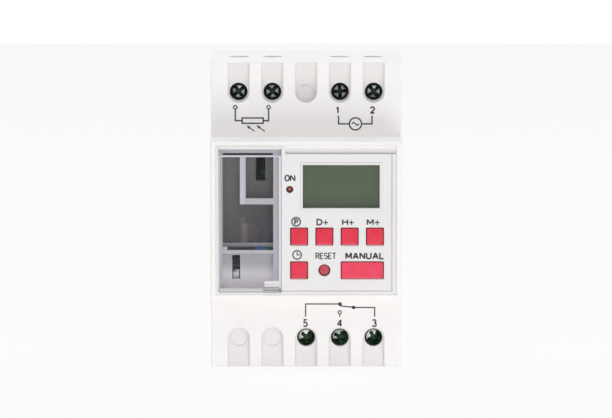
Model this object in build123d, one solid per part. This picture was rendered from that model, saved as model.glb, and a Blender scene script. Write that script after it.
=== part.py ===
from build123d import *
import os

# A rail-mounted digital timer switch, three modules wide.
# Frame: +X to the right, +Y from the front to the back, +Z up as it hangs on its rail.
# The origin is the middle of the rail seat, so Y = 0 is the plane that the rail's front touches.

# Housing
WIDTH = 54.0
HEIGHT = 86.5
SHOULDER_DEPTH = 45.0
NOSE_RISE = 15.0
NOSE_HEIGHT = 44.5
REAR_DEPTH = 6.0
COVER_SKIRT = 21.8
WALL = 1.8
SHOULDER_WALL = 2.4
NOSE_SIDE_WALL = 1.6
NOSE_END_WALL = 1.2
FACET_LENGTH = 4.5
FACET_DROP = 0.7
NOSE_FILLET = 0.7
EDGE_FILLET = 0.4
REAR_CHAMFER = 2.0
LIP_HEIGHT = 2.0
LIP_WALL = 1.1
FIT_GAP = 0.1

# Snap fingers that hold the cover on the base
SNAP_GAP = 1.15
SNAP_WIDTH = 5.4
SNAP_THICKNESS = 1.3
SNAP_HOOK = 1.2
SNAP_REACH = 5.7
SNAP_WINDOW_HEIGHT = 2.6
SNAP_ROOT = 5.0

# Rail seat
RAIL_HEIGHT = 35.0
RAIL_GAP = 0.4
RAIL_SLOT = 1.3
HOOK_REACH = 1.7
SEAT_RELIEF = 0.3
SEAT_RELIEF_REACH = 1.9

# Rail latch and its spring
LATCH_WIDTH = 12.0
LATCH_THICKNESS = 3.0
LATCH_TRAVEL = 3.2
LATCH_REACH = 1.5
LATCH_END_INSET = 4.85
LATCH_GAP = 0.2
LATCH_BEVEL = 1.6
LATCH_LIP_COVER = 1.6
LATCH_LIP_THICKNESS = 1.2
LATCH_LIP_INSET = 2.1
LATCH_WINDOW_WIDTH = 4.4
LATCH_WINDOW_TOP = 6.3
LATCH_LUG_THICKNESS = 1.5
LATCH_SLOT_HEIGHT = 1.2
SPRING_SHORTEST = 5.3
SPRING_RADIUS = 1.35
SPRING_WIRE_RADIUS = 0.22
SPRING_TURNS = 6

# Terminals
TERMINAL_SIDE = 7.9
SCREW_INSET = 8.25
GROOVE_WIDTH = 6.1
GROOVE_DEPTH = 1.4
SCREW_HOLE_RADIUS = 2.55
SCREW_HEAD_RADIUS = 2.35
SCREW_HEAD_DEPTH = 2.8
SCREW_HEAD_THICKNESS = 2.4
SCREW_SHANK_RADIUS = 1.7
SCREW_CHAMFER = 0.24
SCREW_RECESS_LENGTH = 3.3
SCREW_RECESS_WIDTH = 0.85
SCREW_RECESS_DEPTH = 1.4
SHANK_CLEARANCE = 0.2
THREAD_CLEARANCE = 0.05
BOSS_WALL = 1.35
BOSS_GAP = 1.2
BLANK_RING_RADIUS = 2.4
BLANK_RING_DEPTH = 0.15
WIRE_ENTRY_RADIUS = 2.9
WIRE_EDGE = 0.3
WIRE_GAP = 5.2
TONGUE_THICKNESS = 1.0
TONGUE_GAP = 0.6
CONTACT_LEG_WIDTH = 2.4
CONTACT_LEG_SHOWS = 1.0
CHAMBER_DIVIDER = 1.55
CAGE_WALL = 0.9
CAGE_LENGTH = 6.5
CAGE_FLOOR = 1.0
CAGE_NUT = 2.5
CAGE_HEADROOM = 1.4
CAGE_TRAVEL = 3.6
CHAMBER_GAP = 0.4
CHAMBER_FLOOR = 1.5
CHAMBER_WALL = 1.5
RIB_THICKNESS = 1.5

# Face plate
PANEL_THICKNESS = 3.0
PANEL_LEDGE = 0.75
PANEL_LEDGE_THICKNESS = 1.2
RAMP_LENGTH = 2.3
RAMP_DEPTH = 0.9
LINE_WIDTH = 0.3
LINE_DEPTH = 0.35
LINE_INSET_SIDE = 1.1
LINE_INSET_END = 0.85
POST_RADIUS = 1.5
POST_INSET_SIDE = 2.7
POST_INSET_END = 2.2
POST_DOOR_GAP_TOP = 2.15
POST_DOOR_GAP_BOTTOM = 0.75
POST_SCREW_RADIUS = 0.9
POST_SCREW_HEAD_RADIUS = 1.7
POST_SCREW_HEAD_HEIGHT = 1.2
POST_SCREW_LENGTH = 5.0

# Clear door and what lies behind it
DISPLAY_AREA_WIDTH = 32.35
DOOR_SIDE_GAP = 0.85
DOOR_END_GAP = 0.75
DOOR_HINGE_INSET = 1.75
DOOR_THICKNESS = 1.2
DOOR_GAP = 0.15
DOOR_PIN_RADIUS = 0.42
DOOR_PIN_LENGTH = 0.7
DOOR_SINK = 0.05
GRIP_WIDTH = 4.1
GRIP_HEIGHT = 3.1
GRIP_RISE = 0.6
GRIP_INSET = 0.55
GRIP_RIBS = 4
EAR_WIDTH = 1.1
BAY_LEFT_LEDGE = 0.95
BAY_RIGHT_LEDGE = 2.2
BAY_TOP_LEDGE = 1.5
BAY_BOTTOM_LEDGE = 1.0
BAY_FRAME_LEFT = 4.9
BAY_FRAME_HEIGHT = 13.3
BAY_FRAME_BAR = 1.65
TRAY_HEIGHT = 10.2
TRAY_DEPTH = 3.6
TRAY_WALL = 1.0
TRAY_FLOOR = 1.2
WINDOW_RISE = 1.5
WINDOW_THICKNESS = 1.0
WINDOW_OVERLAP = 1.0

# Sensitivity trimmer behind the slot in the tray
TRIMMER_INSET_SIDE = 3.8
TRIMMER_INSET_END = 5.7
TRIMMER_SLOT_WIDTH = 2.2
TRIMMER_SLOT_HEIGHT = 6.75
TRIMMER_WHEEL_RADIUS = 4.4
TRIMMER_WHEEL_WIDTH = 1.7
TRIMMER_SINK = 0.2
TRIMMER_AXLE_RADIUS = 1.0
TRIMMER_BODY_WIDTH = 3.0
TRIMMER_BODY_HEIGHT = 9.0
TRIMMER_KNURLS = 24
TRIMMER_KNURL_RADIUS = 0.28

# Display
LCD_LED_GAP = 3.65
LCD_INSET_SIDE = 4.65
LCD_INSET_TOP = 5.35
LCD_LABEL_SPACE = 5.6
LCD_MARGIN_X = 1.25
LCD_MARGIN_Z = 0.85
LCD_GLASS_THICKNESS = 2.2
LCD_SINK = 1.5
LCD_BEZEL_WIDTH = 0.6
LCD_BEZEL_RISE = 0.25
LCD_FRAME_WALL = 0.65
ZEBRA_THICKNESS = 1.5
ZEBRA_INSET = 0.15
ZEBRA_SHORTER = 4.0
REFLECTOR_THICKNESS = 0.3

# Status lamp
LED_DOOR_GAP = 2.45
LED_INSET_TOP = 12.25
LED_HOLE_RADIUS = 1.0
LED_TIP_RADIUS = 0.9
LED_FLANGE_RADIUS = 1.25
LED_FLANGE_HEIGHT = 1.2
LED_SPACER_RADIUS = 1.5

# Buttons and their switches
BUTTON_COLUMNS = 4
BUTTON_DOOR_GAP = 5.07
BUTTON_INSET_SIDE = 5.98
BUTTON_ROW_PITCH = 9.53
BUTTON_ROW_INSET = 6.85
BUTTON_SIZE = 4.75
BUTTON_GAP = 0.15
BUTTON_RISE = 0.5
BUTTON_TRAVEL = 0.35
BUTTON_FLANGE = 0.6
BUTTON_FLANGE_THICKNESS = 0.8
BUTTON_CORNER = 0.3
BUTTON_STEM_RADIUS = 1.4
RESET_RADIUS = 1.55
RESET_SINK = 0.6
PLUNGER_RADIUS = 1.6
PLUNGER_SHOWS = 0.7
PLUNGER_INSIDE = 0.8
PLUNGER_CLEARANCE = 0.08
SWITCH_SIZE = 6.0
SWITCH_HEIGHT = 3.5
BUTTON_STEM_LENGTH = 1.3

# Circuit boards
BOARD_THICKNESS = 1.6
BOARD_GAP = 0.5
POWER_BOARD_DEPTH = 14.0
POWER_BOARD_OVERLAP = 0.75
POWER_POST_INSET = 3.7
POWER_POST_RADIUS = 2.5
POWER_SCREW_RADIUS = 1.1
POWER_SCREW_HEAD_RADIUS = 2.1
POWER_SCREW_HEAD_HEIGHT = 1.5

# Parts on the control board
CHIP_SIZE = 10.0
CHIP_HEIGHT = 1.6
CHIP_INSET = 15.9
CHIP_Z = -12.0
CRYSTAL_RADIUS = 1.5
CRYSTAL_LENGTH = 8.0
CRYSTAL_CHIP_GAP = 2.5
BATTERY_RADIUS = 5.8
BATTERY_HEIGHT = 5.4
BATTERY_INSET = 8.4
BATTERY_Z = 10.0

# Cable between the boards
HEADER_WIDTH = 10.0
HEADER_DEPTH = 3.0
HEADER_HEIGHT = 4.0
HEADER_Z = 12.0
RIBBON_BOW = 4.0
RIBBON_THICKNESS = 0.9
RIBBON_NARROWER = 2.0

# Parts on the power board
PART_GAP = 0.2
RELAY_LENGTH = 23.5
RELAY_HEIGHT = 15.7
RELAY_INSET = 7.2
RELAY_END_GAP = 1.85
RELAY_TOP_GAP = 1.1
RELAY_FILLET = 0.6
DROPPER_HEIGHT = 14.0
DROPPER_DEPTH = 7.3
DROPPER_INSET_LEFT = 10.4
DROPPER_INSET_RIGHT = 21.0
DROPPER_Z = -8.25
DROPPER_FILLET = 0.8
CAN_RADIUS = 4.0
CAN_HEIGHT = 12.0
CAN_PITCH = 8.2
CAN_INSET = 5.3
CAN_Z = 10.0
CAN_FILLET = 0.5
VARISTOR_RADIUS = 3.0
VARISTOR_THICKNESS = 2.4
VARISTOR_LIFT = 8.0
VARISTOR_Z = -7.7
VARISTOR_LEG_WIDTH = 0.8
VARISTOR_LEG_THICKNESS = 0.6
VARISTOR_LEG_REACH = 1.9
RESISTOR_RADIUS = 1.0
RESISTOR_LIFT = 10.0
RESISTOR_BOTTOM = -10.1
RESISTOR_LENGTH = 6.9
RESISTOR_LEG_RADIUS = 0.35
RESISTOR_LEG_INSET = 0.6
BRIDGE_WIDTH = 2.6
BRIDGE_HEIGHT = 9.0
BRIDGE_LENGTH = 10.1
BRIDGE_BOTTOM = 10.9

# Places worked out from the sizes above
y_back = REAR_DEPTH
y_shoulder = -SHOULDER_DEPTH
y_nose = y_shoulder - NOSE_RISE
y_parting = y_shoulder + COVER_SKIRT
half_width = WIDTH / 2
half_height = HEIGHT / 2
half_nose = NOSE_HEIGHT / 2
cavity_x = half_width - WALL
cavity_z = half_height - WALL
nose_cavity_x = half_width - NOSE_SIDE_WALL
nose_cavity_z = half_nose - NOSE_END_WALL

terminal_pitch = (half_width - TERMINAL_SIDE) / 2
terminal_z = half_height - SCREW_INSET
wire_y = y_parting + WIRE_EDGE + WIRE_ENTRY_RADIUS
tongue_rear = wire_y - WIRE_GAP / 2
tongue_front = tongue_rear - TONGUE_THICKNESS
cage_floor_y = wire_y + WIRE_GAP / 2
cage_rear = cage_floor_y + CAGE_FLOOR
cage_inner_front = tongue_front - CAGE_HEADROOM
cage_front = cage_inner_front - CAGE_NUT
boss_end = cage_front - CAGE_TRAVEL - BOSS_GAP
chamber_rear = cage_rear + CHAMBER_GAP
chamber_x = (terminal_pitch - CHAMBER_DIVIDER) / 2
cage_half = chamber_x - CHAMBER_GAP
cage_inner_half = cage_half - CAGE_WALL
tongue_half = cage_inner_half - TONGUE_GAP
chamber_in = terminal_z - CAGE_LENGTH / 2 - CHAMBER_GAP
chamber_out = terminal_z + CAGE_LENGTH / 2 + CHAMBER_GAP
block_in = chamber_in - CHAMBER_WALL
snap_z = block_in - SNAP_WIDTH / 2 - SNAP_GAP
head_front = y_shoulder + SCREW_HEAD_DEPTH
head_rear = head_front + SCREW_HEAD_THICKNESS

panel_x = nose_cavity_x - FIT_GAP
panel_z = nose_cavity_z - FIT_GAP
y_panel_back = y_nose + PANEL_THICKNESS
y_ledge = y_panel_back + FIT_GAP / 2
ramp_bottom = panel_z - RAMP_LENGTH

door_front = y_nose + DOOR_SINK
door_back = door_front + DOOR_THICKNESS
door_axis_y = (door_front + door_back) / 2
door_left = DOOR_SIDE_GAP - panel_x
door_right = panel_x - DISPLAY_AREA_WIDTH
door_bottom = DOOR_END_GAP - panel_z
door_hinge_z = panel_z - DOOR_HINGE_INSET
recess_left = door_left - DOOR_GAP
recess_right = door_right + DOOR_GAP
recess_bottom = door_bottom - DOOR_GAP
recess_top = door_hinge_z + DOOR_THICKNESS / 2 + DOOR_GAP
recess_floor = door_back + FIT_GAP
bay_left = door_left + BAY_LEFT_LEDGE
bay_right = door_right - BAY_RIGHT_LEDGE
bay_bottom = door_bottom + BAY_BOTTOM_LEDGE
bay_top = door_hinge_z - BAY_TOP_LEDGE
bay_frame_bottom = bay_top - BAY_FRAME_HEIGHT
tray_top = bay_bottom + TRAY_HEIGHT
tray_front = y_nose + TRAY_DEPTH
tray_back = tray_front + TRAY_FLOOR
trimmer_x = bay_left + TRIMMER_INSET_SIDE
trimmer_z = bay_bottom + TRIMMER_INSET_END

button_left_x = door_right + BUTTON_DOOR_GAP
button_pitch = (panel_x - BUTTON_INSET_SIDE - button_left_x) / (BUTTON_COLUMNS - 1)
button_row_2_z = BUTTON_ROW_INSET - panel_z
button_row_1_z = button_row_2_z + BUTTON_ROW_PITCH
lcd_z = (button_row_1_z + BUTTON_SIZE / 2 + LCD_LABEL_SPACE, panel_z - LCD_INSET_TOP)
led_x = door_right + LED_DOOR_GAP
lcd_x = (led_x + LCD_LED_GAP, panel_x - LCD_INSET_SIDE)
led_z = panel_z - LED_INSET_TOP
post_z = panel_z - POST_INSET_END
post_points = [
    (door_right + POST_DOOR_GAP_TOP, post_z),
    (panel_x - POST_INSET_SIDE, post_z),
    (panel_x - POST_INSET_SIDE, -post_z),
    (door_right + POST_DOOR_GAP_BOTTOM, -post_z),
]

button_front = y_nose - BUTTON_RISE
flange_front = y_panel_back + 2 * FIT_GAP
flange_back = flange_front + BUTTON_FLANGE_THICKNESS
plunger_front = flange_back + BUTTON_STEM_LENGTH
switch_front = plunger_front + PLUNGER_SHOWS
y_board = switch_front + SWITCH_HEIGHT
y_board_back = y_board + BOARD_THICKNESS
board_x = nose_cavity_x - BOARD_GAP
board_z = nose_cavity_z - BOARD_GAP
board_window_right = bay_right + BOARD_GAP
board_window_bottom = tray_top + BOARD_GAP

y_power = -POWER_BOARD_DEPTH
y_power_back = y_power + BOARD_THICKNESS
power_x = cavity_x - BOARD_GAP
power_z = block_in + POWER_BOARD_OVERLAP
rail_pocket_z = RAIL_HEIGHT / 2 + RAIL_GAP / 2 + WALL
power_post_x = power_x - POWER_POST_INSET
power_post_z = rail_pocket_z + POWER_POST_RADIUS
dropper_left = DROPPER_INSET_LEFT - power_x
dropper_right = power_x - DROPPER_INSET_RIGHT
dropper_bottom = DROPPER_Z - DROPPER_DEPTH / 2
varistor_right = dropper_left - PART_GAP
varistor_left = varistor_right - VARISTOR_THICKNESS
can_x = (power_x - CAN_INSET - CAN_PITCH, power_x - CAN_INSET)
header_right = can_x[0] - CAN_RADIUS - PART_GAP

latch_front = RAIL_SLOT + LATCH_GAP
latch_back = latch_front + LATCH_THICKNESS
latch_top = -RAIL_HEIGHT / 2 + LATCH_REACH
latch_bottom = LATCH_END_INSET - half_height
window_top = latch_top - LATCH_WINDOW_TOP
spring_length = LATCH_TRAVEL + SPRING_SHORTEST
lug_top = window_top - spring_length
lug_bottom = lug_top - LATCH_LUG_THICKNESS
latch_window_bottom = lug_bottom - FIT_GAP
latch_middle_y = (latch_front + latch_back) / 2

# The places of the terminals, counted from the middle groove
terminals = {
    "sensor_left": (-2, 1),
    "sensor_right": (-1, 1),
    "1": (1, 1),
    "2": (2, 1),
    "3": (2, -1),
    "4": (1, -1),
    "5": (0, -1),
}
blanks = [(0, 1), (-2, -1), (-1, -1)]

# The places of the buttons, as columns and rows
buttons = {
    "program": (0, button_row_1_z),
    "day": (1, button_row_1_z),
    "hour": (2, button_row_1_z),
    "minute": (3, button_row_1_z),
    "clock": (0, button_row_2_z),
    "reset": (1, button_row_2_z),
    "manual": (2.5, button_row_2_z),
}


def block(x, y, z):
    """A box between three pairs of coordinates."""
    spans = [sorted(span) for span in (x, y, z)]
    size = [high - low for low, high in spans]
    middle = [(low + high) / 2 for low, high in spans]
    return Pos(*middle) * Box(*size)


def rod_x(y, z, radius, x):
    """A cylinder along X between two coordinates."""
    low, high = sorted(x)
    return Pos((low + high) / 2, y, z) * Rot(0, 90, 0) * Cylinder(radius, high - low)


def rod_y(x, z, radius, y):
    """A cylinder along Y between two coordinates."""
    low, high = sorted(y)
    return Pos(x, (low + high) / 2, z) * Rot(90, 0, 0) * Cylinder(radius, high - low)


def rod_z(x, y, radius, z):
    """A cylinder along Z between two coordinates."""
    low, high = sorted(z)
    return Pos(x, y, (low + high) / 2) * Cylinder(radius, high - low)


def prism_x(points, x):
    """A prism along X whose outline is a list of Y and Z pairs."""
    low, high = sorted(x)
    outline = Polyline([(low, y, z) for y, z in points], close=True)
    return extrude(make_face(outline), amount=high - low, dir=(1, 0, 0))


def terminal_x(place):
    """The X of a terminal's axis."""
    return place * terminal_pitch


def button_x(column):
    """The X of a button's middle."""
    return button_left_x + column * button_pitch


def button_half_width(name):
    """Half the width of a button's cap."""
    if name == "manual":
        return (BUTTON_SIZE + button_pitch) / 2
    return BUTTON_SIZE / 2


def cap_outline(name, grow):
    """The face of a button's cap, grown on every side."""
    column, z = buttons[name]
    if name == "reset":
        face = Circle(RESET_RADIUS + grow)
    else:
        face = RectangleRounded(
            2 * (button_half_width(name) + grow), BUTTON_SIZE + 2 * grow, BUTTON_CORNER
        )
    return Pos(button_x(column), 0, z) * Rot(90, 0, 0) * face


def cap_prism(name, grow, y):
    """The cap's outline, grown and carried between two Y coordinates."""
    low, high = sorted(y)
    return Pos(0, high, 0) * extrude(cap_outline(name, grow), amount=high - low, dir=(0, -1, 0))


def groove(place, side):
    """The U-shaped groove that leads from a screw to the end of the housing."""
    x = terminal_x(place)
    z_middle = side * terminal_z
    z_end = side * (half_height + WALL)
    floor = y_shoulder + GROOVE_DEPTH
    straight = block(
        (x - GROOVE_WIDTH / 2, x + GROOVE_WIDTH / 2), (y_shoulder - WALL, floor), (z_middle, z_end)
    )
    return straight + rod_y(x, z_middle, GROOVE_WIDTH / 2, (y_shoulder - WALL, floor))


def cover_outside():
    """The outside of the front cover: the shoulders with their facets, and the nose."""
    profile = [
        (y_parting, -half_height),
        (y_parting, half_height),
        (y_shoulder + FACET_DROP, half_height),
        (y_shoulder, half_height - FACET_LENGTH),
        (y_shoulder, FACET_LENGTH - half_height),
        (y_shoulder + FACET_DROP, -half_height),
    ]
    shoulders = prism_x(profile, (-half_width, half_width))
    side_edges = [
        edge
        for edge in shoulders.edges()
        if abs(edge.center().X) > half_width - EDGE_FILLET
        and edge.center().Y < y_shoulder + FACET_DROP
    ]
    end_edges = [
        edge
        for edge in shoulders.edges()
        if abs(edge.center().Z) > half_height - EDGE_FILLET
        and abs(edge.center().X) < EDGE_FILLET
        and edge.center().Y < y_shoulder + FACET_DROP + EDGE_FILLET
    ]
    shoulders = fillet(side_edges + end_edges, EDGE_FILLET)
    nose = block((-half_width, half_width), (y_nose, y_shoulder + WALL), (-half_nose, half_nose))
    nose = fillet(nose.faces().sort_by(Axis.Y)[0].edges(), NOSE_FILLET)
    return shoulders + nose


def cover_inside():
    """What is hollow in the front cover."""
    shoulders = block(
        (-cavity_x, cavity_x), (y_shoulder + SHOULDER_WALL, y_parting + WALL), (-cavity_z, cavity_z)
    )
    nose = block(
        (-nose_cavity_x, nose_cavity_x),
        (y_nose - WALL, y_shoulder + SHOULDER_WALL + WALL),
        (-nose_cavity_z, nose_cavity_z),
    )
    return shoulders + nose


def panel_ledges():
    """The ledges in the nose that the face plate rests on."""
    y = (y_ledge, y_ledge + PANEL_LEDGE_THICKNESS)
    inner = nose_cavity_z - PANEL_LEDGE
    x = (-nose_cavity_x - NOSE_SIDE_WALL / 2, nose_cavity_x + NOSE_SIDE_WALL / 2)
    top = block(x, y, (inner, nose_cavity_z + NOSE_END_WALL / 2))
    bottom = block(x, y, (-inner, -nose_cavity_z - NOSE_END_WALL / 2))
    right = block(
        (nose_cavity_x - PANEL_LEDGE, nose_cavity_x + NOSE_SIDE_WALL / 2),
        y,
        (-nose_cavity_z, nose_cavity_z),
    )
    return top + bottom + right


def snap_finger(side, end):
    """One finger of the cover, whose hook catches in a window of the base."""
    outer = cavity_x - FIT_GAP
    inner = outer - SNAP_THICKNESS
    tip = y_parting + SNAP_REACH
    z = (end * snap_z - SNAP_WIDTH / 2, end * snap_z + SNAP_WIDTH / 2)
    finger = block((side * inner, side * outer), (y_parting - SNAP_ROOT, tip), z)
    root_y = (y_parting - 2 * SNAP_ROOT, y_parting - LIP_HEIGHT - 2 * FIT_GAP)
    root = block((side * inner, side * (cavity_x + WALL / 2)), root_y, z)
    hook_start = tip - SNAP_WINDOW_HEIGHT + 2 * FIT_GAP
    hook = Polyline(
        [
            (side * (outer - SNAP_THICKNESS / 2), hook_start, z[0]),
            (side * (outer + SNAP_HOOK), hook_start, z[0]),
            (side * outer, tip, z[0]),
            (side * (outer - SNAP_THICKNESS / 2), tip, z[0]),
        ],
        close=True,
    )
    return finger + root + extrude(make_face(hook), amount=SNAP_WIDTH, dir=(0, 0, 1))


def snap_window(side, end):
    """The window in the base's side wall for one snap hook."""
    middle = end * snap_z
    half = SNAP_WIDTH / 2 + 3 * FIT_GAP
    rear = y_parting + SNAP_REACH + 2 * FIT_GAP
    return block(
        (side * (cavity_x - LIP_WALL), side * (half_width + WALL)),
        (rear - SNAP_WINDOW_HEIGHT - 2 * FIT_GAP, rear),
        (middle - half, middle + half),
    )


def front_cover():
    """The front shell with its grooves, screw bosses, ribs and snap fingers."""
    cover = cover_outside() - cover_inside() + panel_ledges()
    wall_back = y_shoulder + SHOULDER_WALL
    wall_end = tongue_front - 2 * FIT_GAP
    for side in (1, -1):
        z = (side * block_in, side * chamber_in)
        cover += block((-cavity_x - WALL / 2, cavity_x + WALL / 2), (wall_back - WALL / 2, wall_end), z)
        for place in range(-2, 2):
            x = (terminal_x(place) + terminal_x(place + 1)) / 2
            cover += block(
                (x - RIB_THICKNESS / 2, x + RIB_THICKNESS / 2),
                (wall_back - WALL / 2, wall_end),
                (side * (chamber_in - CHAMBER_WALL / 2), side * chamber_out),
            )
    for place, side in terminals.values():
        cover += rod_y(
            terminal_x(place),
            side * terminal_z,
            SCREW_HOLE_RADIUS + BOSS_WALL,
            (wall_back - WALL / 2, boss_end),
        )
    for place, side in list(terminals.values()) + blanks:
        cover -= groove(place, side)
    for place, side in terminals.values():
        x = terminal_x(place)
        z = side * terminal_z
        shank = SCREW_SHANK_RADIUS + SHANK_CLEARANCE
        cover -= rod_y(x, z, SCREW_HOLE_RADIUS, (y_shoulder - WALL, head_rear + FIT_GAP))
        cover -= rod_y(x, z, shank, (y_shoulder, boss_end + WALL))
    for place, side in blanks:
        ring_floor = y_shoulder + GROOVE_DEPTH + BLANK_RING_DEPTH
        cover -= rod_y(
            terminal_x(place), side * terminal_z, BLANK_RING_RADIUS, (y_shoulder, ring_floor)
        )
    for side in (1, -1):
        for end in (1, -1):
            cover += snap_finger(side, end)
    return cover


def base_outside():
    """The outside of the rear base, with its rail channel."""
    profile = [
        (y_parting, -half_height),
        (y_parting, half_height),
        (y_back - REAR_CHAMFER, half_height),
        (y_back, half_height - REAR_CHAMFER),
        (y_back, REAR_CHAMFER - half_height),
        (y_back - REAR_CHAMFER, -half_height),
    ]
    base = prism_x(profile, (-half_width, half_width))
    x = (-half_width - WALL, half_width + WALL)
    seat = RAIL_HEIGHT / 2 + RAIL_GAP / 2
    channel = block(x, (0, y_back + WALL), (-seat, seat - HOOK_REACH))
    hook_slot = block(x, (0, RAIL_SLOT), (0, seat))
    base = base - channel - hook_slot
    for side in (1, -1):
        base -= block(x, (-SEAT_RELIEF, WALL), (side * (seat - SEAT_RELIEF_REACH), side * seat))
    return base


def base_inside():
    """What is hollow in the rear base: the board space and the pockets behind the terminals."""
    main = block((-cavity_x, cavity_x), (y_parting - WALL, -WALL), (-cavity_z, cavity_z))
    y = (-2 * WALL, y_back - WALL)
    z_end = half_height - REAR_CHAMFER - WALL
    top = block((-cavity_x, cavity_x), y, (rail_pocket_z, z_end))
    guide_x = LATCH_WIDTH / 2 + LATCH_GAP + WALL
    left = block((-cavity_x, -guide_x), y, (-z_end, -rail_pocket_z))
    right = block((guide_x, cavity_x), y, (-z_end, -rail_pocket_z))
    return main + top + left + right


def base_lip():
    """The lip of the base that centres the cover, open where the snap fingers pass."""
    x = cavity_x - FIT_GAP
    z = cavity_z - FIT_GAP
    y = (y_parting - LIP_HEIGHT, y_parting + WALL)
    deep = (y[0] - WALL, y[1] + WALL)
    root_x = cavity_x + WALL / 2
    root_z = cavity_z + WALL / 2
    lip = block((-x, x), y, (-z, z))
    lip += block((-root_x, root_x), (y_parting, y[1]), (-root_z, root_z))
    lip -= block((LIP_WALL - x, x - LIP_WALL), deep, (LIP_WALL - z, z - LIP_WALL))
    for end in (1, -1):
        half = SNAP_WIDTH / 2 + 3 * FIT_GAP
        lip -= block((-half_width, half_width), deep, (end * snap_z - half, end * snap_z + half))
        wall_z = (end * (block_in - 2 * FIT_GAP), end * (chamber_in + 2 * FIT_GAP))
        lip -= block((-half_width, half_width), (deep[0], y_parting), wall_z)
    return lip


def latch_guide():
    """The space for the rail latch, open to the rear between two retaining lips."""
    x = LATCH_WIDTH / 2 + LATCH_GAP
    z = (-half_height - WALL, 0)
    space = block((-x, x), (latch_front - LATCH_GAP, y_back + WALL), z)
    lip_front = latch_back + LATCH_GAP
    lip_top = -RAIL_HEIGHT / 2 - WALL
    for side in (1, -1):
        space -= block(
            (side * (x - LATCH_LIP_COVER), side * (x + WALL)),
            (lip_front, lip_front + LATCH_LIP_THICKNESS),
            (latch_bottom + LATCH_LIP_INSET, lip_top),
        )
    return space


def rear_base():
    """The rear shell with terminal chambers, board posts, rail hook and latch guide."""
    base = base_outside() - base_inside() + base_lip()
    for side in (1, -1):
        z = (side * block_in, side * (cavity_z + WALL / 2))
        y = (y_parting, chamber_rear + CHAMBER_FLOOR)
        base += block((-cavity_x - WALL / 2, cavity_x + WALL / 2), y, z)
        for place in range(-2, 3):
            x = terminal_x(place)
            base -= block(
                (x - chamber_x, x + chamber_x),
                (y_parting - WALL, chamber_rear),
                (side * chamber_in, side * chamber_out),
            )
    for place, side in terminals.values():
        x = terminal_x(place)
        notch = tongue_half + FIT_GAP
        z = (side * (block_in - WALL), side * (chamber_in + WALL))
        base -= block((x - notch, x + notch), (y_parting - WALL, tongue_rear + FIT_GAP), z)
        entry_z = (side * (chamber_out - FIT_GAP), side * (half_height + WALL))
        base -= rod_z(x, wire_y, WIRE_ENTRY_RADIUS, entry_z)
    for side in (1, -1):
        for end in (1, -1):
            base -= snap_window(side, end)
            post_at = (side * power_post_x, end * power_post_z)
            base += rod_y(*post_at, POWER_POST_RADIUS, (y_power_back, y_back - WALL))
            hole = POWER_SCREW_RADIUS + THREAD_CLEARANCE
            base -= rod_y(*post_at, hole, (y_power_back - WALL, -WALL))
    base -= latch_guide()
    lug_x = LATCH_WINDOW_WIDTH / 2 - 2 * LATCH_GAP
    base += block((-lug_x, lug_x), (0, latch_back), (lug_bottom, lug_top))
    return base


def din_latch():
    """The sprung slider that holds the lower edge of the rail."""
    half = LATCH_WIDTH / 2
    profile = [
        (latch_front, latch_bottom),
        (latch_front, latch_top),
        (latch_back - LATCH_BEVEL, latch_top),
        (latch_back, latch_top - LATCH_BEVEL),
        (latch_back, latch_bottom),
    ]
    latch = prism_x(profile, (-half, half))
    y = (latch_front - WALL, latch_back + WALL)
    window = LATCH_WINDOW_WIDTH / 2
    latch -= block((-window, window), y, (latch_window_bottom, window_top))
    slot_z = (latch_bottom + LATCH_SLOT_HEIGHT, latch_bottom + 2 * LATCH_SLOT_HEIGHT)
    latch -= block((-window, window), y, slot_z)
    return latch


def latch_spring():
    """The coil spring that pushes the latch up."""
    reach = SPRING_WIRE_RADIUS + FIT_GAP / 2
    height = spring_length - 2 * reach
    path = Helix(height / SPRING_TURNS, height, SPRING_RADIUS)
    section = Plane(origin=path @ 0, z_dir=path % 0) * Circle(SPRING_WIRE_RADIUS)
    coil = sweep(section, path=path, is_frenet=True)
    return Pos(0, latch_middle_y, lug_top + reach) * coil


def terminal_screw(place, side):
    """A terminal screw with its head, cross recess and shank."""
    x = terminal_x(place)
    z = side * terminal_z
    screw = rod_y(x, z, SCREW_HEAD_RADIUS, (head_front, head_rear))
    screw = chamfer(screw.edges().sort_by(Axis.Y)[0], SCREW_CHAMFER)
    screw += rod_y(x, z, SCREW_SHANK_RADIUS, (head_rear - FIT_GAP, tongue_front - FIT_GAP))
    y = (head_front - WALL, head_front + SCREW_RECESS_DEPTH)
    long = SCREW_RECESS_LENGTH / 2
    short = SCREW_RECESS_WIDTH / 2
    screw -= block((x - long, x + long), y, (z - short, z + short))
    screw -= block((x - short, x + short), y, (z - long, z + long))
    return screw


def terminal_cage(place, side):
    """The rising cage that a terminal screw pulls up against the contact tongue."""
    x = terminal_x(place)
    length = CAGE_LENGTH / 2
    low, high = sorted((side * (terminal_z - length), side * (terminal_z + length)))
    cage = block((x - cage_half, x + cage_half), (cage_front, cage_rear), (low, high))
    cage -= block(
        (x - cage_inner_half, x + cage_inner_half),
        (cage_inner_front, cage_floor_y),
        (low - WALL, high + WALL),
    )
    hole = SCREW_SHANK_RADIUS + THREAD_CLEARANCE
    return cage - rod_y(x, side * terminal_z, hole, (cage_front - WALL, cage_inner_front + WALL))


def contact_bar(place, side):
    """A contact: its tongue lies in the cage, and its leg goes through the power board."""
    x = terminal_x(place)
    leg_in = side * (block_in - CHAMBER_GAP - TONGUE_THICKNESS)
    leg_out = side * (block_in - CHAMBER_GAP)
    tongue_end = side * (terminal_z + CAGE_LENGTH / 2 - FIT_GAP)
    bar = block((x - tongue_half, x + tongue_half), (tongue_front, tongue_rear), (leg_in, tongue_end))
    leg = CONTACT_LEG_WIDTH / 2
    leg_y = (tongue_front, y_power_back + CONTACT_LEG_SHOWS)
    return bar + block((x - leg, x + leg), leg_y, (leg_in, leg_out))


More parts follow.
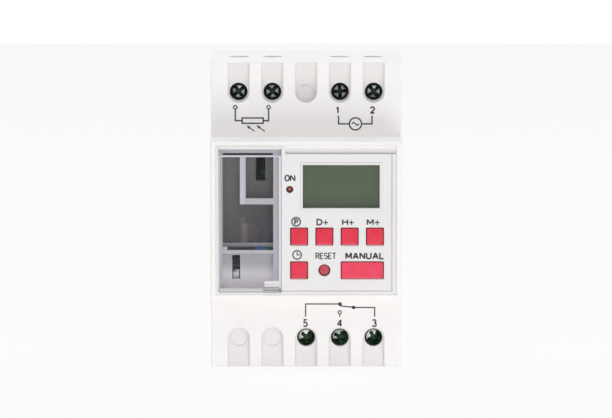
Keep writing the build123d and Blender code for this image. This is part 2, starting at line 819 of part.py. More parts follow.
def front_panel():
    """The face plate with the door recess, the tray behind it, the windows and the holes."""
    panel = block((-panel_x, panel_x), (y_nose, y_panel_back), (-panel_z, panel_z))
    right_edge = panel.faces().sort_by(Axis.X)[-1].edges().sort_by(Axis.Y)[0]
    panel = chamfer(right_edge, LINE_DEPTH, LINE_INSET_SIDE - LINE_WIDTH)
    panel += block(
        (bay_left - TRAY_WALL, bay_right + TRAY_WALL),
        (y_panel_back - WALL, tray_back),
        (bay_bottom - TRAY_WALL, tray_top + TRAY_WALL / 2),
    )
    panel -= door_recess()
    ramp = [(y_nose - WALL, panel_z), (y_nose, panel_z)]
    ramp += [(y_nose + RAMP_DEPTH, ramp_bottom), (y_nose - WALL, ramp_bottom)]
    panel -= prism_x(ramp, (recess_left, recess_right))
    panel -= prism_x(ramp, (recess_right + EAR_WIDTH, panel_x + WALL))
    panel -= seam_lines()
    panel += display_bezel()
    panel -= display_pocket()
    panel -= rod_y(led_x, led_z, LED_HOLE_RADIUS, (y_nose - WALL, y_panel_back + WALL))
    for name in buttons:
        panel -= cap_prism(name, BUTTON_GAP, (y_nose - WALL, y_panel_back + WALL))
    for x, z in post_points:
        panel += rod_y(x, z, POST_RADIUS, (y_panel_back - WALL / 2, y_board))
        hole = POST_SCREW_RADIUS + THREAD_CLEARANCE
        panel -= rod_y(x, z, hole, (y_board - POST_SCREW_LENGTH, y_board + WALL))
    return panel


def door_recess():
    """The recess that the door closes into, the bay behind it and the holes for the door's pins."""
    recess = block(
        (recess_left, recess_right), (y_nose - WALL, recess_floor), (recess_bottom, recess_top)
    )
    through = (y_nose - WALL, y_panel_back + WALL)
    bay = block((bay_left, bay_right), through, (tray_top + TRAY_WALL / 2, bay_top))
    frame_left = bay_left + BAY_FRAME_LEFT
    upright = (frame_left, frame_left + BAY_FRAME_BAR)
    bar = (bay_frame_bottom, bay_frame_bottom + BAY_FRAME_BAR)
    bar_y = (recess_floor, y_panel_back + 2 * WALL)
    bay -= block(upright, bar_y, (bay_frame_bottom, bay_top + WALL))
    bay -= block((frame_left, bay_right + WALL), bar_y, bar)
    tray = block(
        (bay_left, bay_right), (y_nose - WALL, tray_front), (bay_bottom, tray_top - TRAY_WALL / 2)
    )
    slot_x = (trimmer_x - TRIMMER_SLOT_WIDTH / 2, trimmer_x + TRIMMER_SLOT_WIDTH / 2)
    slot_z = (trimmer_z - TRIMMER_SLOT_HEIGHT / 2, trimmer_z + TRIMMER_SLOT_HEIGHT / 2)
    slot = block(slot_x, (tray_front - WALL, tray_back + WALL), slot_z)
    pin = DOOR_PIN_RADIUS + THREAD_CLEARANCE
    pins = rod_x(
        door_axis_y,
        door_hinge_z,
        pin,
        (door_left - DOOR_PIN_LENGTH - DOOR_GAP, door_right + DOOR_PIN_LENGTH + DOOR_GAP),
    )
    return recess + bay + tray + slot + pins


def seam_lines():
    """The fine lines beside and under the display area."""
    x_line = panel_x - LINE_INSET_SIDE
    z_line = LINE_INSET_END - panel_z
    y = (y_nose - WALL, y_nose + LINE_DEPTH)
    upright = block((x_line - LINE_WIDTH, x_line), y, (z_line, ramp_bottom))
    level = block((recess_right, x_line), y, (z_line, z_line + LINE_WIDTH))
    return upright + level


def display_window(grow):
    """The pairs of X and Z of the display's window, grown on every side."""
    return (lcd_x[0] - grow, lcd_x[1] + grow), (lcd_z[0] - grow, lcd_z[1] + grow)


def display_bezel():
    """The thin raised frame round the display's window."""
    x, z = display_window(LCD_BEZEL_WIDTH)
    return block(x, (y_nose - LCD_BEZEL_RISE, y_nose + WALL), z)


def display_pocket():
    """The window of the display and the pocket behind it for the glass."""
    x, z = display_window(0)
    window = block(x, (y_nose - WALL, y_panel_back + WALL), z)
    glass_x, glass_z = glass_span(2 * FIT_GAP)
    return window + block(glass_x, (y_nose + LCD_SINK - FIT_GAP, y_panel_back + WALL), glass_z)


def glass_span(grow):
    """The pairs of X and Z of the display glass, grown on every side."""
    x = display_window(LCD_MARGIN_X + grow)[0]
    z = display_window(LCD_MARGIN_Z + grow)[1]
    return x, z


def display_parts():
    """The glass, its frame, the reflector and the two rubber connectors."""
    glass_front = y_nose + LCD_SINK
    glass_back = glass_front + LCD_GLASS_THICKNESS
    x, z = glass_span(0)
    glass = block(x, (glass_front, glass_back), z)
    frame_x, frame_z = glass_span(LCD_FRAME_WALL + FIT_GAP)
    inner_x, inner_z = glass_span(FIT_GAP)
    frame_y = (y_panel_back + FIT_GAP, y_board)
    frame = block(frame_x, frame_y, frame_z)
    frame -= block(inner_x, (frame_y[0] - WALL, frame_y[1] + WALL), inner_z)
    strip_x = (x[0] + ZEBRA_SHORTER / 2, x[1] - ZEBRA_SHORTER / 2)
    strip_y = (glass_back, y_board)
    low = (z[0] + ZEBRA_INSET, z[0] + ZEBRA_INSET + ZEBRA_THICKNESS)
    high = (z[1] - ZEBRA_INSET - ZEBRA_THICKNESS, z[1] - ZEBRA_INSET)
    strips = [block(strip_x, strip_y, low), block(strip_x, strip_y, high)]
    reflector_y = (glass_back, glass_back + REFLECTOR_THICKNESS)
    reflector = block(x, reflector_y, (low[1] + FIT_GAP, high[0] - FIT_GAP))
    return {
        "lcd_glass": glass,
        "lcd_frame": frame,
        "zebra_strips": Compound(strips),
        "lcd_reflector": reflector,
    }


def status_led():
    """The lamp: a domed tip in the panel's hole, a flange and a spacer down to the board."""
    tip_front = y_nose + FIT_GAP + LED_TIP_RADIUS
    flange = (y_panel_back + FIT_GAP, y_panel_back + FIT_GAP + LED_FLANGE_HEIGHT)
    led = Pos(led_x, tip_front, led_z) * Sphere(LED_TIP_RADIUS)
    led += rod_y(led_x, led_z, LED_TIP_RADIUS, (tip_front, flange[1]))
    led += rod_y(led_x, led_z, LED_FLANGE_RADIUS, flange)
    return led + rod_y(led_x, led_z, LED_SPACER_RADIUS, (flange[1], y_board))


def button_cap(name):
    """A button: its cap in the panel's hole, a flange behind the panel and a stem."""
    column, z = buttons[name]
    x = button_x(column)
    front = y_nose + RESET_SINK if name == "reset" else button_front
    cap = cap_prism(name, 0, (front, flange_back))
    face = cap.faces().sort_by(Axis.Y)[0]
    cap = fillet(face.edges(), BUTTON_CORNER / 2)
    cap += cap_prism(name, BUTTON_FLANGE, (flange_front, flange_back))
    return cap + rod_y(x, z, BUTTON_STEM_RADIUS, (flange_back, plunger_front))


def switch_plunger(name):
    """The moving plunger of the switch under a button."""
    column, z = buttons[name]
    return rod_y(button_x(column), z, PLUNGER_RADIUS, (plunger_front, switch_front + PLUNGER_INSIDE))


def tact_switches():
    """The fixed cases of the switches under the buttons."""
    half = SWITCH_SIZE / 2
    bore = PLUNGER_RADIUS + PLUNGER_CLEARANCE
    depth = switch_front + PLUNGER_INSIDE + BUTTON_TRAVEL + 2 * FIT_GAP
    cases = []
    for column, z in buttons.values():
        x = button_x(column)
        case = block((x - half, x + half), (switch_front, y_board), (z - half, z + half))
        cases.append(case - rod_y(x, z, bore, (switch_front - WALL, depth)))
    return Compound(cases)


def clear_door():
    """The clear door with its round hinge edge, two pins and a ribbed finger grip."""
    plate = block((door_left, door_right), (door_front, door_back), (door_bottom, door_hinge_z))
    door = plate + rod_x(door_axis_y, door_hinge_z, DOOR_THICKNESS / 2, (door_left, door_right))
    pin_x = (door_left - DOOR_PIN_LENGTH, door_right + DOOR_PIN_LENGTH)
    door += rod_x(door_axis_y, door_hinge_z, DOOR_PIN_RADIUS, pin_x)
    grip_x = (door_right - GRIP_INSET - GRIP_WIDTH, door_right - GRIP_INSET)
    grip_z = (door_bottom, door_bottom + GRIP_HEIGHT)
    door += block(grip_x, (door_front - GRIP_RISE, door_back), grip_z)
    step = GRIP_HEIGHT / (2 * GRIP_RIBS)
    for rib in range(GRIP_RIBS - 1):
        low = door_bottom + (2 * rib + 1) * step
        y = (door_front - GRIP_RISE - WALL, door_front - GRIP_RISE / 2)
        door -= block((grip_x[0] - WALL, grip_x[1] + WALL), y, (low, low + step))
    return door


def inner_window():
    """The fixed clear window behind the upper part of the bay."""
    x = (bay_left - WINDOW_OVERLAP, bay_right + WINDOW_OVERLAP)
    y = (y_panel_back + FIT_GAP / 2, y_panel_back + FIT_GAP / 2 + WINDOW_THICKNESS)
    return block(x, y, (tray_top + WINDOW_RISE, bay_top + WINDOW_OVERLAP))


def trimmer():
    """The edge wheel behind the tray's slot, and its case on the control board."""
    wheel_y = tray_front - TRIMMER_SINK + TRIMMER_WHEEL_RADIUS
    wheel_x = (trimmer_x - TRIMMER_WHEEL_WIDTH / 2, trimmer_x + TRIMMER_WHEEL_WIDTH / 2)
    wheel = rod_x(wheel_y, trimmer_z, TRIMMER_WHEEL_RADIUS, wheel_x)
    for step in range(TRIMMER_KNURLS):
        turn = Pos(0, wheel_y, trimmer_z) * Rot(step * 360 / TRIMMER_KNURLS, 0, 0)
        notch_x = (wheel_x[0] - WALL, wheel_x[1] + WALL)
        notch = rod_x(TRIMMER_WHEEL_RADIUS, 0, TRIMMER_KNURL_RADIUS, notch_x)
        wheel -= turn * notch
    case_left = wheel_x[1] + 3 * FIT_GAP
    case_x = (case_left, case_left + TRIMMER_BODY_WIDTH)
    axle_x = (trimmer_x, case_x[1] - TRIMMER_BODY_WIDTH / 3)
    wheel += rod_x(wheel_y, trimmer_z, TRIMMER_AXLE_RADIUS, axle_x)
    half = TRIMMER_BODY_HEIGHT / 2
    case = block(case_x, (tray_back + FIT_GAP, y_board), (trimmer_z - half, trimmer_z + half))
    bore = TRIMMER_AXLE_RADIUS + THREAD_CLEARANCE
    case -= rod_x(wheel_y, trimmer_z, bore, (case_left - WALL, axle_x[1] + FIT_GAP))
    return {"trimmer_wheel": wheel, "trimmer_body": case}


def control_board():
    """The board behind the face plate, cut away behind the window and round the trimmer wheel."""
    board = block((-board_x, board_x), (y_board, y_board_back), (-board_z, board_z))
    y = (y_board - WALL, y_board_back + WALL)
    board -= block((-board_x - WALL, board_window_right), y, (board_window_bottom, board_z + WALL))
    slot = TRIMMER_SLOT_WIDTH / 2 + FIT_GAP
    reach = TRIMMER_WHEEL_RADIUS + BOARD_GAP
    slot_z = (trimmer_z - reach, board_window_bottom + WALL)
    board -= block((trimmer_x - slot, trimmer_x + slot), y, slot_z)
    for x, z in post_points:
        board -= rod_y(x, z, POST_SCREW_RADIUS + 2 * FIT_GAP, y)
    return board


def control_board_screws():
    """The small screws that hold the control board on the face plate's posts."""
    screws = []
    for x, z in post_points:
        shank = rod_y(x, z, POST_SCREW_RADIUS, (y_board - POST_SCREW_LENGTH + FIT_GAP, y_board_back))
        head_y = (y_board_back, y_board_back + POST_SCREW_HEAD_HEIGHT)
        screws.append(shank + rod_y(x, z, POST_SCREW_HEAD_RADIUS, head_y))
    return Compound(screws)


def control_board_parts():
    """What stands on the back of the control board."""
    chip_x = board_x - CHIP_INSET
    half = CHIP_SIZE / 2
    chip = block(
        (chip_x - half, chip_x + half),
        (y_board_back, y_board_back + CHIP_HEIGHT),
        (CHIP_Z - half, CHIP_Z + half),
    )
    crystal = rod_x(
        y_board_back + CRYSTAL_RADIUS,
        CHIP_Z + half + CRYSTAL_CHIP_GAP + CRYSTAL_RADIUS,
        CRYSTAL_RADIUS,
        (chip_x - CRYSTAL_LENGTH / 2, chip_x + CRYSTAL_LENGTH / 2),
    )
    battery_y = (y_board_back, y_board_back + BATTERY_HEIGHT)
    battery = rod_y(board_x - BATTERY_INSET, BATTERY_Z, BATTERY_RADIUS, battery_y)
    return {"microcontroller": chip, "quartz_crystal": crystal, "backup_battery": battery}


def ribbon():
    """The flat cable between the two boards, and its two headers."""
    x = (header_right - HEADER_WIDTH, header_right)
    middle_x = header_right - HEADER_WIDTH / 2
    z = (HEADER_Z - HEADER_DEPTH / 2, HEADER_Z + HEADER_DEPTH / 2)
    start = y_board_back + HEADER_HEIGHT
    end = y_power - HEADER_HEIGHT
    front_header = block(x, (y_board_back, start), z)
    rear_header = block(x, (end, y_power), z)
    arc = ThreePointArc(
        (middle_x, start, HEADER_Z),
        (middle_x, (start + end) / 2, HEADER_Z + RIBBON_BOW),
        (middle_x, end, HEADER_Z),
    )
    plane = Plane(origin=arc @ 0, x_dir=(1, 0, 0), z_dir=arc % 0)
    section = plane * Rectangle(HEADER_WIDTH - RIBBON_NARROWER, RIBBON_THICKNESS)
    cable = sweep(section, path=arc)
    limits_z = (HEADER_Z - RIBBON_BOW, HEADER_Z + 2 * RIBBON_BOW)
    limits = block((x[0] - WALL, x[1] + WALL), (start, end), limits_z)
    return {"ribbon_headers": Compound([front_header, rear_header]), "ribbon_cable": cable & limits}


def power_post_points():
    """The places of the four posts that carry the power board."""
    return [(x, z) for x in (-power_post_x, power_post_x) for z in (-power_post_z, power_post_z)]


def power_board():
    """The board in the base that carries the relay and the terminal contacts."""
    board = block((-power_x, power_x), (y_power, y_power_back), (-power_z, power_z))
    y = (y_power - WALL, y_power_back + WALL)
    for place, side in terminals.values():
        x = terminal_x(place)
        half = CONTACT_LEG_WIDTH / 2 + FIT_GAP
        leg_in = side * (block_in - CHAMBER_GAP - TONGUE_THICKNESS - FIT_GAP)
        leg_out = side * (block_in - CHAMBER_GAP + FIT_GAP)
        board -= block((x - half, x + half), y, (leg_in, leg_out))
    for x, z in power_post_points():
        board -= rod_y(x, z, POWER_SCREW_RADIUS + 2 * FIT_GAP, y)
    return board


def power_board_screws():
    """The screws that hold the power board on the base's posts."""
    screws = []
    head_y = (y_power - POWER_SCREW_HEAD_HEIGHT, y_power)
    for x, z in power_post_points():
        shank = rod_y(x, z, POWER_SCREW_RADIUS, (y_power, -WALL - FIT_GAP))
        screws.append(shank + rod_y(x, z, POWER_SCREW_HEAD_RADIUS, head_y))
    return Compound(screws)


def varistor():
    """The disc on two legs."""
    disc_y = y_power - VARISTOR_LIFT
    disc = rod_x(disc_y, VARISTOR_Z, VARISTOR_RADIUS, (varistor_left, varistor_right))
    middle_x = (varistor_left + varistor_right) / 2
    leg_x = (middle_x - VARISTOR_LEG_WIDTH / 2, middle_x + VARISTOR_LEG_WIDTH / 2)
    for side in (1, -1):
        z = VARISTOR_Z + side * VARISTOR_LEG_REACH
        leg_z = (z - VARISTOR_LEG_THICKNESS / 2, z + VARISTOR_LEG_THICKNESS / 2)
        disc += block(leg_x, (disc_y, y_power), leg_z)
    return disc


def fuse_resistor():
    """The upright resistor on two legs."""
    x = varistor_left - PART_GAP - RESISTOR_RADIUS
    y = y_power - RESISTOR_LIFT
    top = RESISTOR_BOTTOM + RESISTOR_LENGTH
    body = rod_z(x, y, RESISTOR_RADIUS, (RESISTOR_BOTTOM, top))
    body += Pos(x, y, top) * Sphere(RESISTOR_RADIUS)
    for z in (top - RESISTOR_LEG_INSET, RESISTOR_BOTTOM + RESISTOR_LEG_INSET):
        body += rod_y(x, z, RESISTOR_LEG_RADIUS, (y, y_power))
    return body


def power_parts():
    """The relay, capacitors and other parts that stand on the power board."""
    relay_right = power_x - RELAY_INSET
    relay = block(
        (relay_right - RELAY_LENGTH, relay_right),
        (y_power - RELAY_HEIGHT, y_power),
        (RELAY_END_GAP - block_in, dropper_bottom - RELAY_TOP_GAP),
    )
    dropper = block(
        (dropper_left, dropper_right),
        (y_power - DROPPER_HEIGHT, y_power),
        (dropper_bottom, dropper_bottom + DROPPER_DEPTH),
    )
    cans = []
    for x in can_x:
        can = rod_y(x, CAN_Z, CAN_RADIUS, (y_power - CAN_HEIGHT, y_power))
        cans.append(fillet(can.edges().sort_by(Axis.Y)[0], CAN_FILLET))
    bridge_left = dropper_left + PART_GAP
    bridge = block(
        (bridge_left, bridge_left + BRIDGE_WIDTH),
        (y_power - BRIDGE_HEIGHT, y_power),
        (BRIDGE_BOTTOM, BRIDGE_BOTTOM + BRIDGE_LENGTH),
    )
    return {
        "relay": fillet(relay.edges().group_by(Axis.Y)[0], RELAY_FILLET),
        "dropper_capacitor": fillet(dropper.edges().group_by(Axis.Y)[0], DROPPER_FILLET),
        "smoothing_capacitors": Compound(cans),
        "varistor": varistor(),
        "fuse_resistor": fuse_resistor(),
        "bridge_rectifier": bridge,
    }


def all_parts():
    """Every node's name and its solid."""
    parts = {
        "rear_base": rear_base(),
        "front_cover": front_cover(),
        "front_panel": front_panel(),
        "inner_window": inner_window(),
        "clear_door": clear_door(),
        "status_led": status_led(),
        "tact_switches": tact_switches(),
        "control_board": control_board(),
        "control_board_screws": control_board_screws(),
        "power_board": power_board(),
        "power_board_screws": power_board_screws(),
        "din_latch": din_latch(),
        "latch_spring": latch_spring(),
    }
    parts.update(display_parts())
    parts.update(trimmer())
    parts.update(control_board_parts())
    parts.update(ribbon())
    parts.update(power_parts())
    parts["contact_bars"] = Compound([contact_bar(*spot) for spot in terminals.values()])
    for name, spot in terminals.items():
        parts["terminal_screw_" + name] = terminal_screw(*spot)
        parts["terminal_cage_" + name] = terminal_cage(*spot)
    for name in buttons:
        parts[name + "_button"] = button_cap(name)
        parts[name + "_plunger"] = switch_plunger(name)
    return parts


os.makedirs("parts", exist_ok=True)
for node, shape in all_parts().items():
    export_step(shape, "parts/" + node + ".step")
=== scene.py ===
import math

import bmesh
import bpy
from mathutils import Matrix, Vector


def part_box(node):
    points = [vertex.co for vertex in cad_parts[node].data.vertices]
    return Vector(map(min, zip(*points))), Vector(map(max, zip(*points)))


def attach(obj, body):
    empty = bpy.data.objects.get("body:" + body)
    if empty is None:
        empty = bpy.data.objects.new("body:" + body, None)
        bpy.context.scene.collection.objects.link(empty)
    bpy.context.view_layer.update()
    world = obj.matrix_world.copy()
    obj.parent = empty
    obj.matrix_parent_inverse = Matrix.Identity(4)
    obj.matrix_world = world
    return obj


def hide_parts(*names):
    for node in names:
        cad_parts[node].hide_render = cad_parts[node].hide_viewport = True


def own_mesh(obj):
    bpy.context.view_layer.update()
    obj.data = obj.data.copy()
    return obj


MM = 0.001

# The camera
DISTANCE = 1.7
ELEVATION = math.radians(5.5)
AIM = Vector((-0.00004, -0.045, 0.00176))
LENS = 353.1
SENSOR = 36

# The light and the floor
AMBIENT = 0.4
FLOOR_GLOW = 0.85
FLOOR_RADIUS = 1.3
FLOOR_Z = -0.04327

# Planes of the part that face the front, in millimetres
SHOULDER_Y = -45.0
PANEL_Y = -60.0
GROOVE_Y = -43.6
BLANK_Y = -43.45
FLANGE_Y = -56.8

# Prints, in millimetres
PRINT_RISE = 0.03
LINE = 0.4
MITRE = 0.66

# The clear door's edges and its grip, in millimetres
DOOR_LEFT = -24.45
DOOR_RIGHT = -7.05
DOOR_LOW = -20.2
GRIP_LEFT = -11.8

# The trimmer's wheel, in millimetres
WHEEL_X = -19.7
WHEEL_Y = -52.2
WHEEL_Z = -13.5

# The terminal screws, in millimetres
SCREW_HEAD = 2.4
SCREW_CROWN = 0.6
SCREW_RIM = 0.25
SCREW_CHAMFER = 0.15
SCREW_SHANK = 1.7
SCREW_PITCH = 0.7
THREAD_DEPTH = 0.25
CROSS_REACH = 1.75
CROSS_HALF = 0.5
CROSS_DEPTH = 1.2
SCREW_AROUND = 96
DOME_ROWS = 26

# Bright metal on the screw domes, wear from the driver with a painted highlight on the upper screws and a
# painted highlight on one side of the lower ones: the share of the radius that it reaches, how near to the
# dome a face is in millimetres, and between which angles in degrees
WEAR_AND_HIGHLIGHT_REACH = 0.74
HIGHLIGHT_REACH = 0.86
DOME_NEAR = 0.12
HIGHLIGHT_SIDE = (62, 200)

# The push buttons, in millimetres
CAP_SOFT = 0.4
CAP_CORNER = 0.45
CAP_CROWN = 0.06
CAP_INSET = 0.64
FLANGE_REACH = 0.5
FLANGE_THICK = 0.8
STEM_HALF = 1.4

# The coil of the latch's spring: the radius of its wire in millimetres, and its turns
COIL_WIRE = 0.22
COIL_TURNS = 6

# The flat cable: the height of its ends and half its thickness in millimetres, and its cores
CABLE_Z = 12.0
CABLE_HALF = 0.42
CABLE_CORES = 8


def tone(red, green, blue):
    """A colour from its values on a screen, from 0 to 255."""
    linear = []
    for value in (red, green, blue):
        share = value / 255
        linear.append(share / 12.92 if share < 0.04045 else ((share + 0.055) / 1.055) ** 2.4)
    return (*linear, 1.0)


class Nodes:
    """The node tree of one material, with short ways to add to it."""

    def __init__(self, name):
        self.material = bpy.data.materials.new(name)
        self.material.use_nodes = True
        self.tree = self.material.node_tree
        self.shader = self.tree.nodes["Principled BSDF"]
        self.output = self.tree.nodes["Material Output"]
        self.place = self.tree.nodes.new("ShaderNodeTexCoord").outputs["Object"]

    def add(self, kind, **values):
        node = self.tree.nodes.new(kind)
        for key, value in values.items():
            setattr(node, key, value)
        return node

    def link(self, source, target):
        self.tree.links.new(source, target)

    def noise(self, scale, detail=2.0, stretch=None):
        """Noise with that many waves in a metre."""
        noise = self.add("ShaderNodeTexNoise")
        noise.inputs["Scale"].default_value = scale
        noise.inputs["Detail"].default_value = detail
        place = self.place
        if stretch:
            mapping = self.add("ShaderNodeMapping")
            mapping.inputs["Scale"].default_value = stretch
            self.link(place, mapping.inputs["Vector"])
            place = mapping.outputs["Vector"]
        self.link(place, noise.inputs["Vector"])
        return noise.outputs["Fac"]

    def ramp(self, source, low, high, start=0.35, end=0.65):
        """Two colours over the range of a source."""
        ramp = self.add("ShaderNodeValToRGB")
        ramp.color_ramp.elements[0].position = start
        ramp.color_ramp.elements[0].color = low
        ramp.color_ramp.elements[1].position = end
        ramp.color_ramp.elements[1].color = high
        self.link(source, ramp.inputs["Fac"])
        return ramp.outputs["Color"]

    def span(self, source, low, high, start=0.3, end=0.7):
        """A source's range mapped to two numbers."""
        span = self.add("ShaderNodeMapRange")
        span.inputs["From Min"].default_value = start
        span.inputs["From Max"].default_value = end
        span.inputs["To Min"].default_value = low
        span.inputs["To Max"].default_value = high
        self.link(source, span.inputs["Value"])
        return span.outputs["Result"]

    def bump(self, source, strength, distance, edge=0.0):
        """Small relief on the surface, and edges that are broken by a small radius."""
        bump = self.add("ShaderNodeBump")
        if edge:
            bevel = self.add("ShaderNodeBevel")
            bevel.inputs["Radius"].default_value = edge * MM
            self.link(bevel.outputs["Normal"], bump.inputs["Normal"])
        bump.inputs["Strength"].default_value = strength
        bump.inputs["Distance"].default_value = distance
        self.link(source, bump.inputs["Height"])
        self.link(bump.outputs["Normal"], self.shader.inputs["Normal"])

    def set(self, **values):
        for key, value in values.items():
            self.shader.inputs[key.replace("_", " ")].default_value = value


def ray_share(tree, kinds):
    """A source that is 1 for rays of these kinds, and 0 for others."""
    rays = tree.nodes.new("ShaderNodeLightPath")
    share = rays.outputs[kinds[0]]
    for kind in kinds[1:]:
        either = tree.nodes.new("ShaderNodeMath")
        either.operation = "MAXIMUM"
        tree.links.new(share, either.inputs[0])
        tree.links.new(rays.outputs[kind], either.inputs[1])
        share = either.outputs[0]
    return share


def mix_surface(tree, share, first, second, output):
    """Sends two shaders to an output, mixed by a share."""
    mix = tree.nodes.new("ShaderNodeMixShader")
    tree.links.new(share, mix.inputs["Fac"])
    tree.links.new(first.outputs[0], mix.inputs[1])
    tree.links.new(second.outputs[0], mix.inputs[2])
    tree.links.new(mix.outputs[0], output.inputs["Surface"])


def shade(colour, factor):
    """A colour made darker or lighter."""
    return (*[min(1.0, channel * factor) for channel in colour[:3]], 1.0)


# The grain of moulded plastic, in waves in a metre and in millimetres
GRAIN = 2800
GRAIN_RELIEF = 0.02


def plastic(name, colour, roughness=0.4, change=0.03, edge=0.0):
    """Moulded plastic with a fine spark-eroded grain and a slightly uneven colour."""
    nodes = Nodes(name)
    broad = nodes.noise(60, 3)
    fine = nodes.noise(GRAIN, 3)
    low = shade(colour, 1 - change)
    high = shade(colour, 1 + change)
    nodes.link(nodes.ramp(broad, low, high), nodes.shader.inputs["Base Color"])
    rough = nodes.span(fine, roughness - 0.05, roughness + 0.05)
    nodes.link(rough, nodes.shader.inputs["Roughness"])
    nodes.bump(fine, 0.35, GRAIN_RELIEF * MM, edge)
    return nodes.material


def graded(name, low, high, start, end):
    """Moulded plastic whose tone changes evenly between two heights, which paints shade and light on it."""
    nodes = Nodes(name)
    parts = nodes.add("ShaderNodeSeparateXYZ")
    nodes.link(nodes.place, parts.inputs["Vector"])
    share = nodes.span(parts.outputs["Z"], 0.0, 1.0, start, end)
    fine = nodes.noise(GRAIN, 3)
    nodes.link(nodes.ramp(share, low, high, 0.0, 1.0), nodes.shader.inputs["Base Color"])
    nodes.link(nodes.span(fine, 0.38, 0.48), nodes.shader.inputs["Roughness"])
    nodes.bump(fine, 0.35, GRAIN_RELIEF * MM)
    return nodes.material


def metal(name, colour, roughness, stretch=(1, 1, 1), change=0.08):
    """Metal with fine tool marks along one direction."""
    nodes = Nodes(name)
    marks = nodes.noise(4200, 4, stretch)
    cloud = nodes.noise(420, 3)
    low = shade(colour, 1 - change)
    high = shade(colour, 1 + change)
    nodes.link(nodes.ramp(cloud, low, high), nodes.shader.inputs["Base Color"])
    rough = nodes.span(marks, roughness * 0.8, roughness * 1.25)
    nodes.link(rough, nodes.shader.inputs["Roughness"])
    nodes.bump(marks, 0.4, 0.006 * MM)
    nodes.set(Metallic=1.0)
    return nodes.material


# The slope of the painted shade on the hazy window in each direction, and where it starts and ends
SHADE_ALONG = (-27.0, 0, 21.7)
SHADE_SPAN = (0.129, 0.829)


def clear(name, colour, roughness, transmission=1.0, index=1.3, passes=0.9, shade_gradient=False):
    """Clear or hazy plastic. On the hazy window a painted gradient darkens it from its upper left to its
    lower right: painted light at one end, painted shade at the other.
    """
    nodes = Nodes(name)
    flow = nodes.noise(120, 1)
    nodes.bump(flow, 0.05, 0.002 * MM)
    rough = nodes.span(nodes.noise(900, 2), roughness * 0.8, roughness * 1.2)
    nodes.link(rough, nodes.shader.inputs["Roughness"])
    nodes.set(Base_Color=colour, Transmission_Weight=transmission, IOR=index)
    if shade_gradient:
        across = nodes.add("ShaderNodeVectorMath", operation="DOT_PRODUCT")
        nodes.link(nodes.place, across.inputs[0])
        across.inputs[1].default_value = SHADE_ALONG
        tint = nodes.ramp(across.outputs["Value"], shade(colour, 0.5), shade(colour, 1.2), *SHADE_SPAN)
        nodes.link(tint, nodes.shader.inputs["Base Color"])
    through = nodes.add("ShaderNodeBsdfTransparent")
    through.inputs["Color"].default_value = shade(colour, passes)
    share = ray_share(nodes.tree, ("Is Shadow Ray", "Is Diffuse Ray"))
    mix_surface(nodes.tree, share, nodes.shader, through, nodes.output)
    return nodes.material


def board_material(name):
    """Green solder mask over copper tracks."""
    nodes = Nodes(name)
    tracks = nodes.add("ShaderNodeTexBrick")
    tracks.inputs["Scale"].default_value = 240
    tracks.inputs["Mortar Size"].default_value = 0.055
    tracks.inputs["Color1"].default_value = tone(24, 78, 44)
    tracks.inputs["Color2"].default_value = tone(28, 86, 48)
    tracks.inputs["Mortar"].default_value = tone(58, 124, 72)
    turn = nodes.add("ShaderNodeMapping")
    turn.inputs["Rotation"].default_value = (math.radians(90), 0, 0)
    nodes.link(nodes.place, turn.inputs["Vector"])
    nodes.link(turn.outputs["Vector"], tracks.inputs["Vector"])
    nodes.link(tracks.outputs["Color"], nodes.shader.inputs["Base Color"])
    nodes.bump(tracks.outputs["Fac"], 0.3, 0.03 * MM)
    nodes.set(Roughness=0.35)
    return nodes.material


def display_material():
    """The grey-green of a reflective display, a little darker towards its lower edge."""
    nodes = Nodes("display_green")
    parts = nodes.add("ShaderNodeSeparateXYZ")
    nodes.link(nodes.place, parts.inputs["Vector"])
    low, high = tone(58, 72, 48), tone(70, 84, 60)
    colour = nodes.ramp(parts.outputs["Z"], low, high, 0.0034, 0.0062)
    nodes.link(colour, nodes.shader.inputs["Base Color"])
    fine = nodes.noise(2600, 2)
    nodes.link(nodes.span(fine, 0.16, 0.24), nodes.shader.inputs["Roughness"])
    nodes.bump(fine, 0.06, 0.004 * MM)
    nodes.set(Coat_Weight=0.4, Coat_Roughness=0.08)
    return nodes.material


def lamp_material():
    """Red tinted epoxy of a small lamp."""
    nodes = Nodes("lamp_red")
    low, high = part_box("status_led")
    away = nodes.add("ShaderNodeVectorMath", operation="DISTANCE")
    flat = nodes.add("ShaderNodeVectorMath", operation="MULTIPLY")
    flat.inputs[1].default_value = (1, 0, 1)
    nodes.link(nodes.place, flat.inputs[0])
    nodes.link(flat.outputs["Vector"], away.inputs[0])
    away.inputs[1].default_value = ((low.x + high.x) / 2 - 0.00005, 0, (low.z + high.z) / 2 + 0.0001)
    share = nodes.span(away.outputs["Value"], 0.0, 1.0, 0.00022, 0.00062)
    colour = nodes.ramp(share, tone(178, 76, 80), tone(74, 6, 16), 0.0, 1.0)
    nodes.link(colour, nodes.shader.inputs["Base Color"])
    nodes.link(nodes.span(nodes.noise(900, 2), 0.16, 0.24), nodes.shader.inputs["Roughness"])
    nodes.set(Coat_Weight=0.5, Subsurface_Weight=0.2, Subsurface_Scale=0.001)
    return nodes.material


def button_material(name, low, high):
    """Glossy crimson plastic of the push buttons."""
    nodes = Nodes(name)
    cloud = nodes.noise(260, 2)
    fine = nodes.noise(3200, 3)
    colour = nodes.ramp(cloud, low, high)
    nodes.link(colour, nodes.shader.inputs["Base Color"])
    nodes.link(nodes.span(fine, 0.28, 0.38), nodes.shader.inputs["Roughness"])
    nodes.bump(fine, 0.25, 0.01 * MM)
    return nodes.material


def print_material():
    """Dark grey ink, thinner in places."""
    nodes = Nodes("ink_grey")
    cloud = nodes.noise(1500, 3)
    colour = nodes.ramp(cloud, tone(50, 49, 50), tone(70, 69, 70))
    nodes.link(colour, nodes.shader.inputs["Base Color"])
    nodes.link(nodes.span(cloud, 0.5, 0.65), nodes.shader.inputs["Roughness"])
    return nodes.material


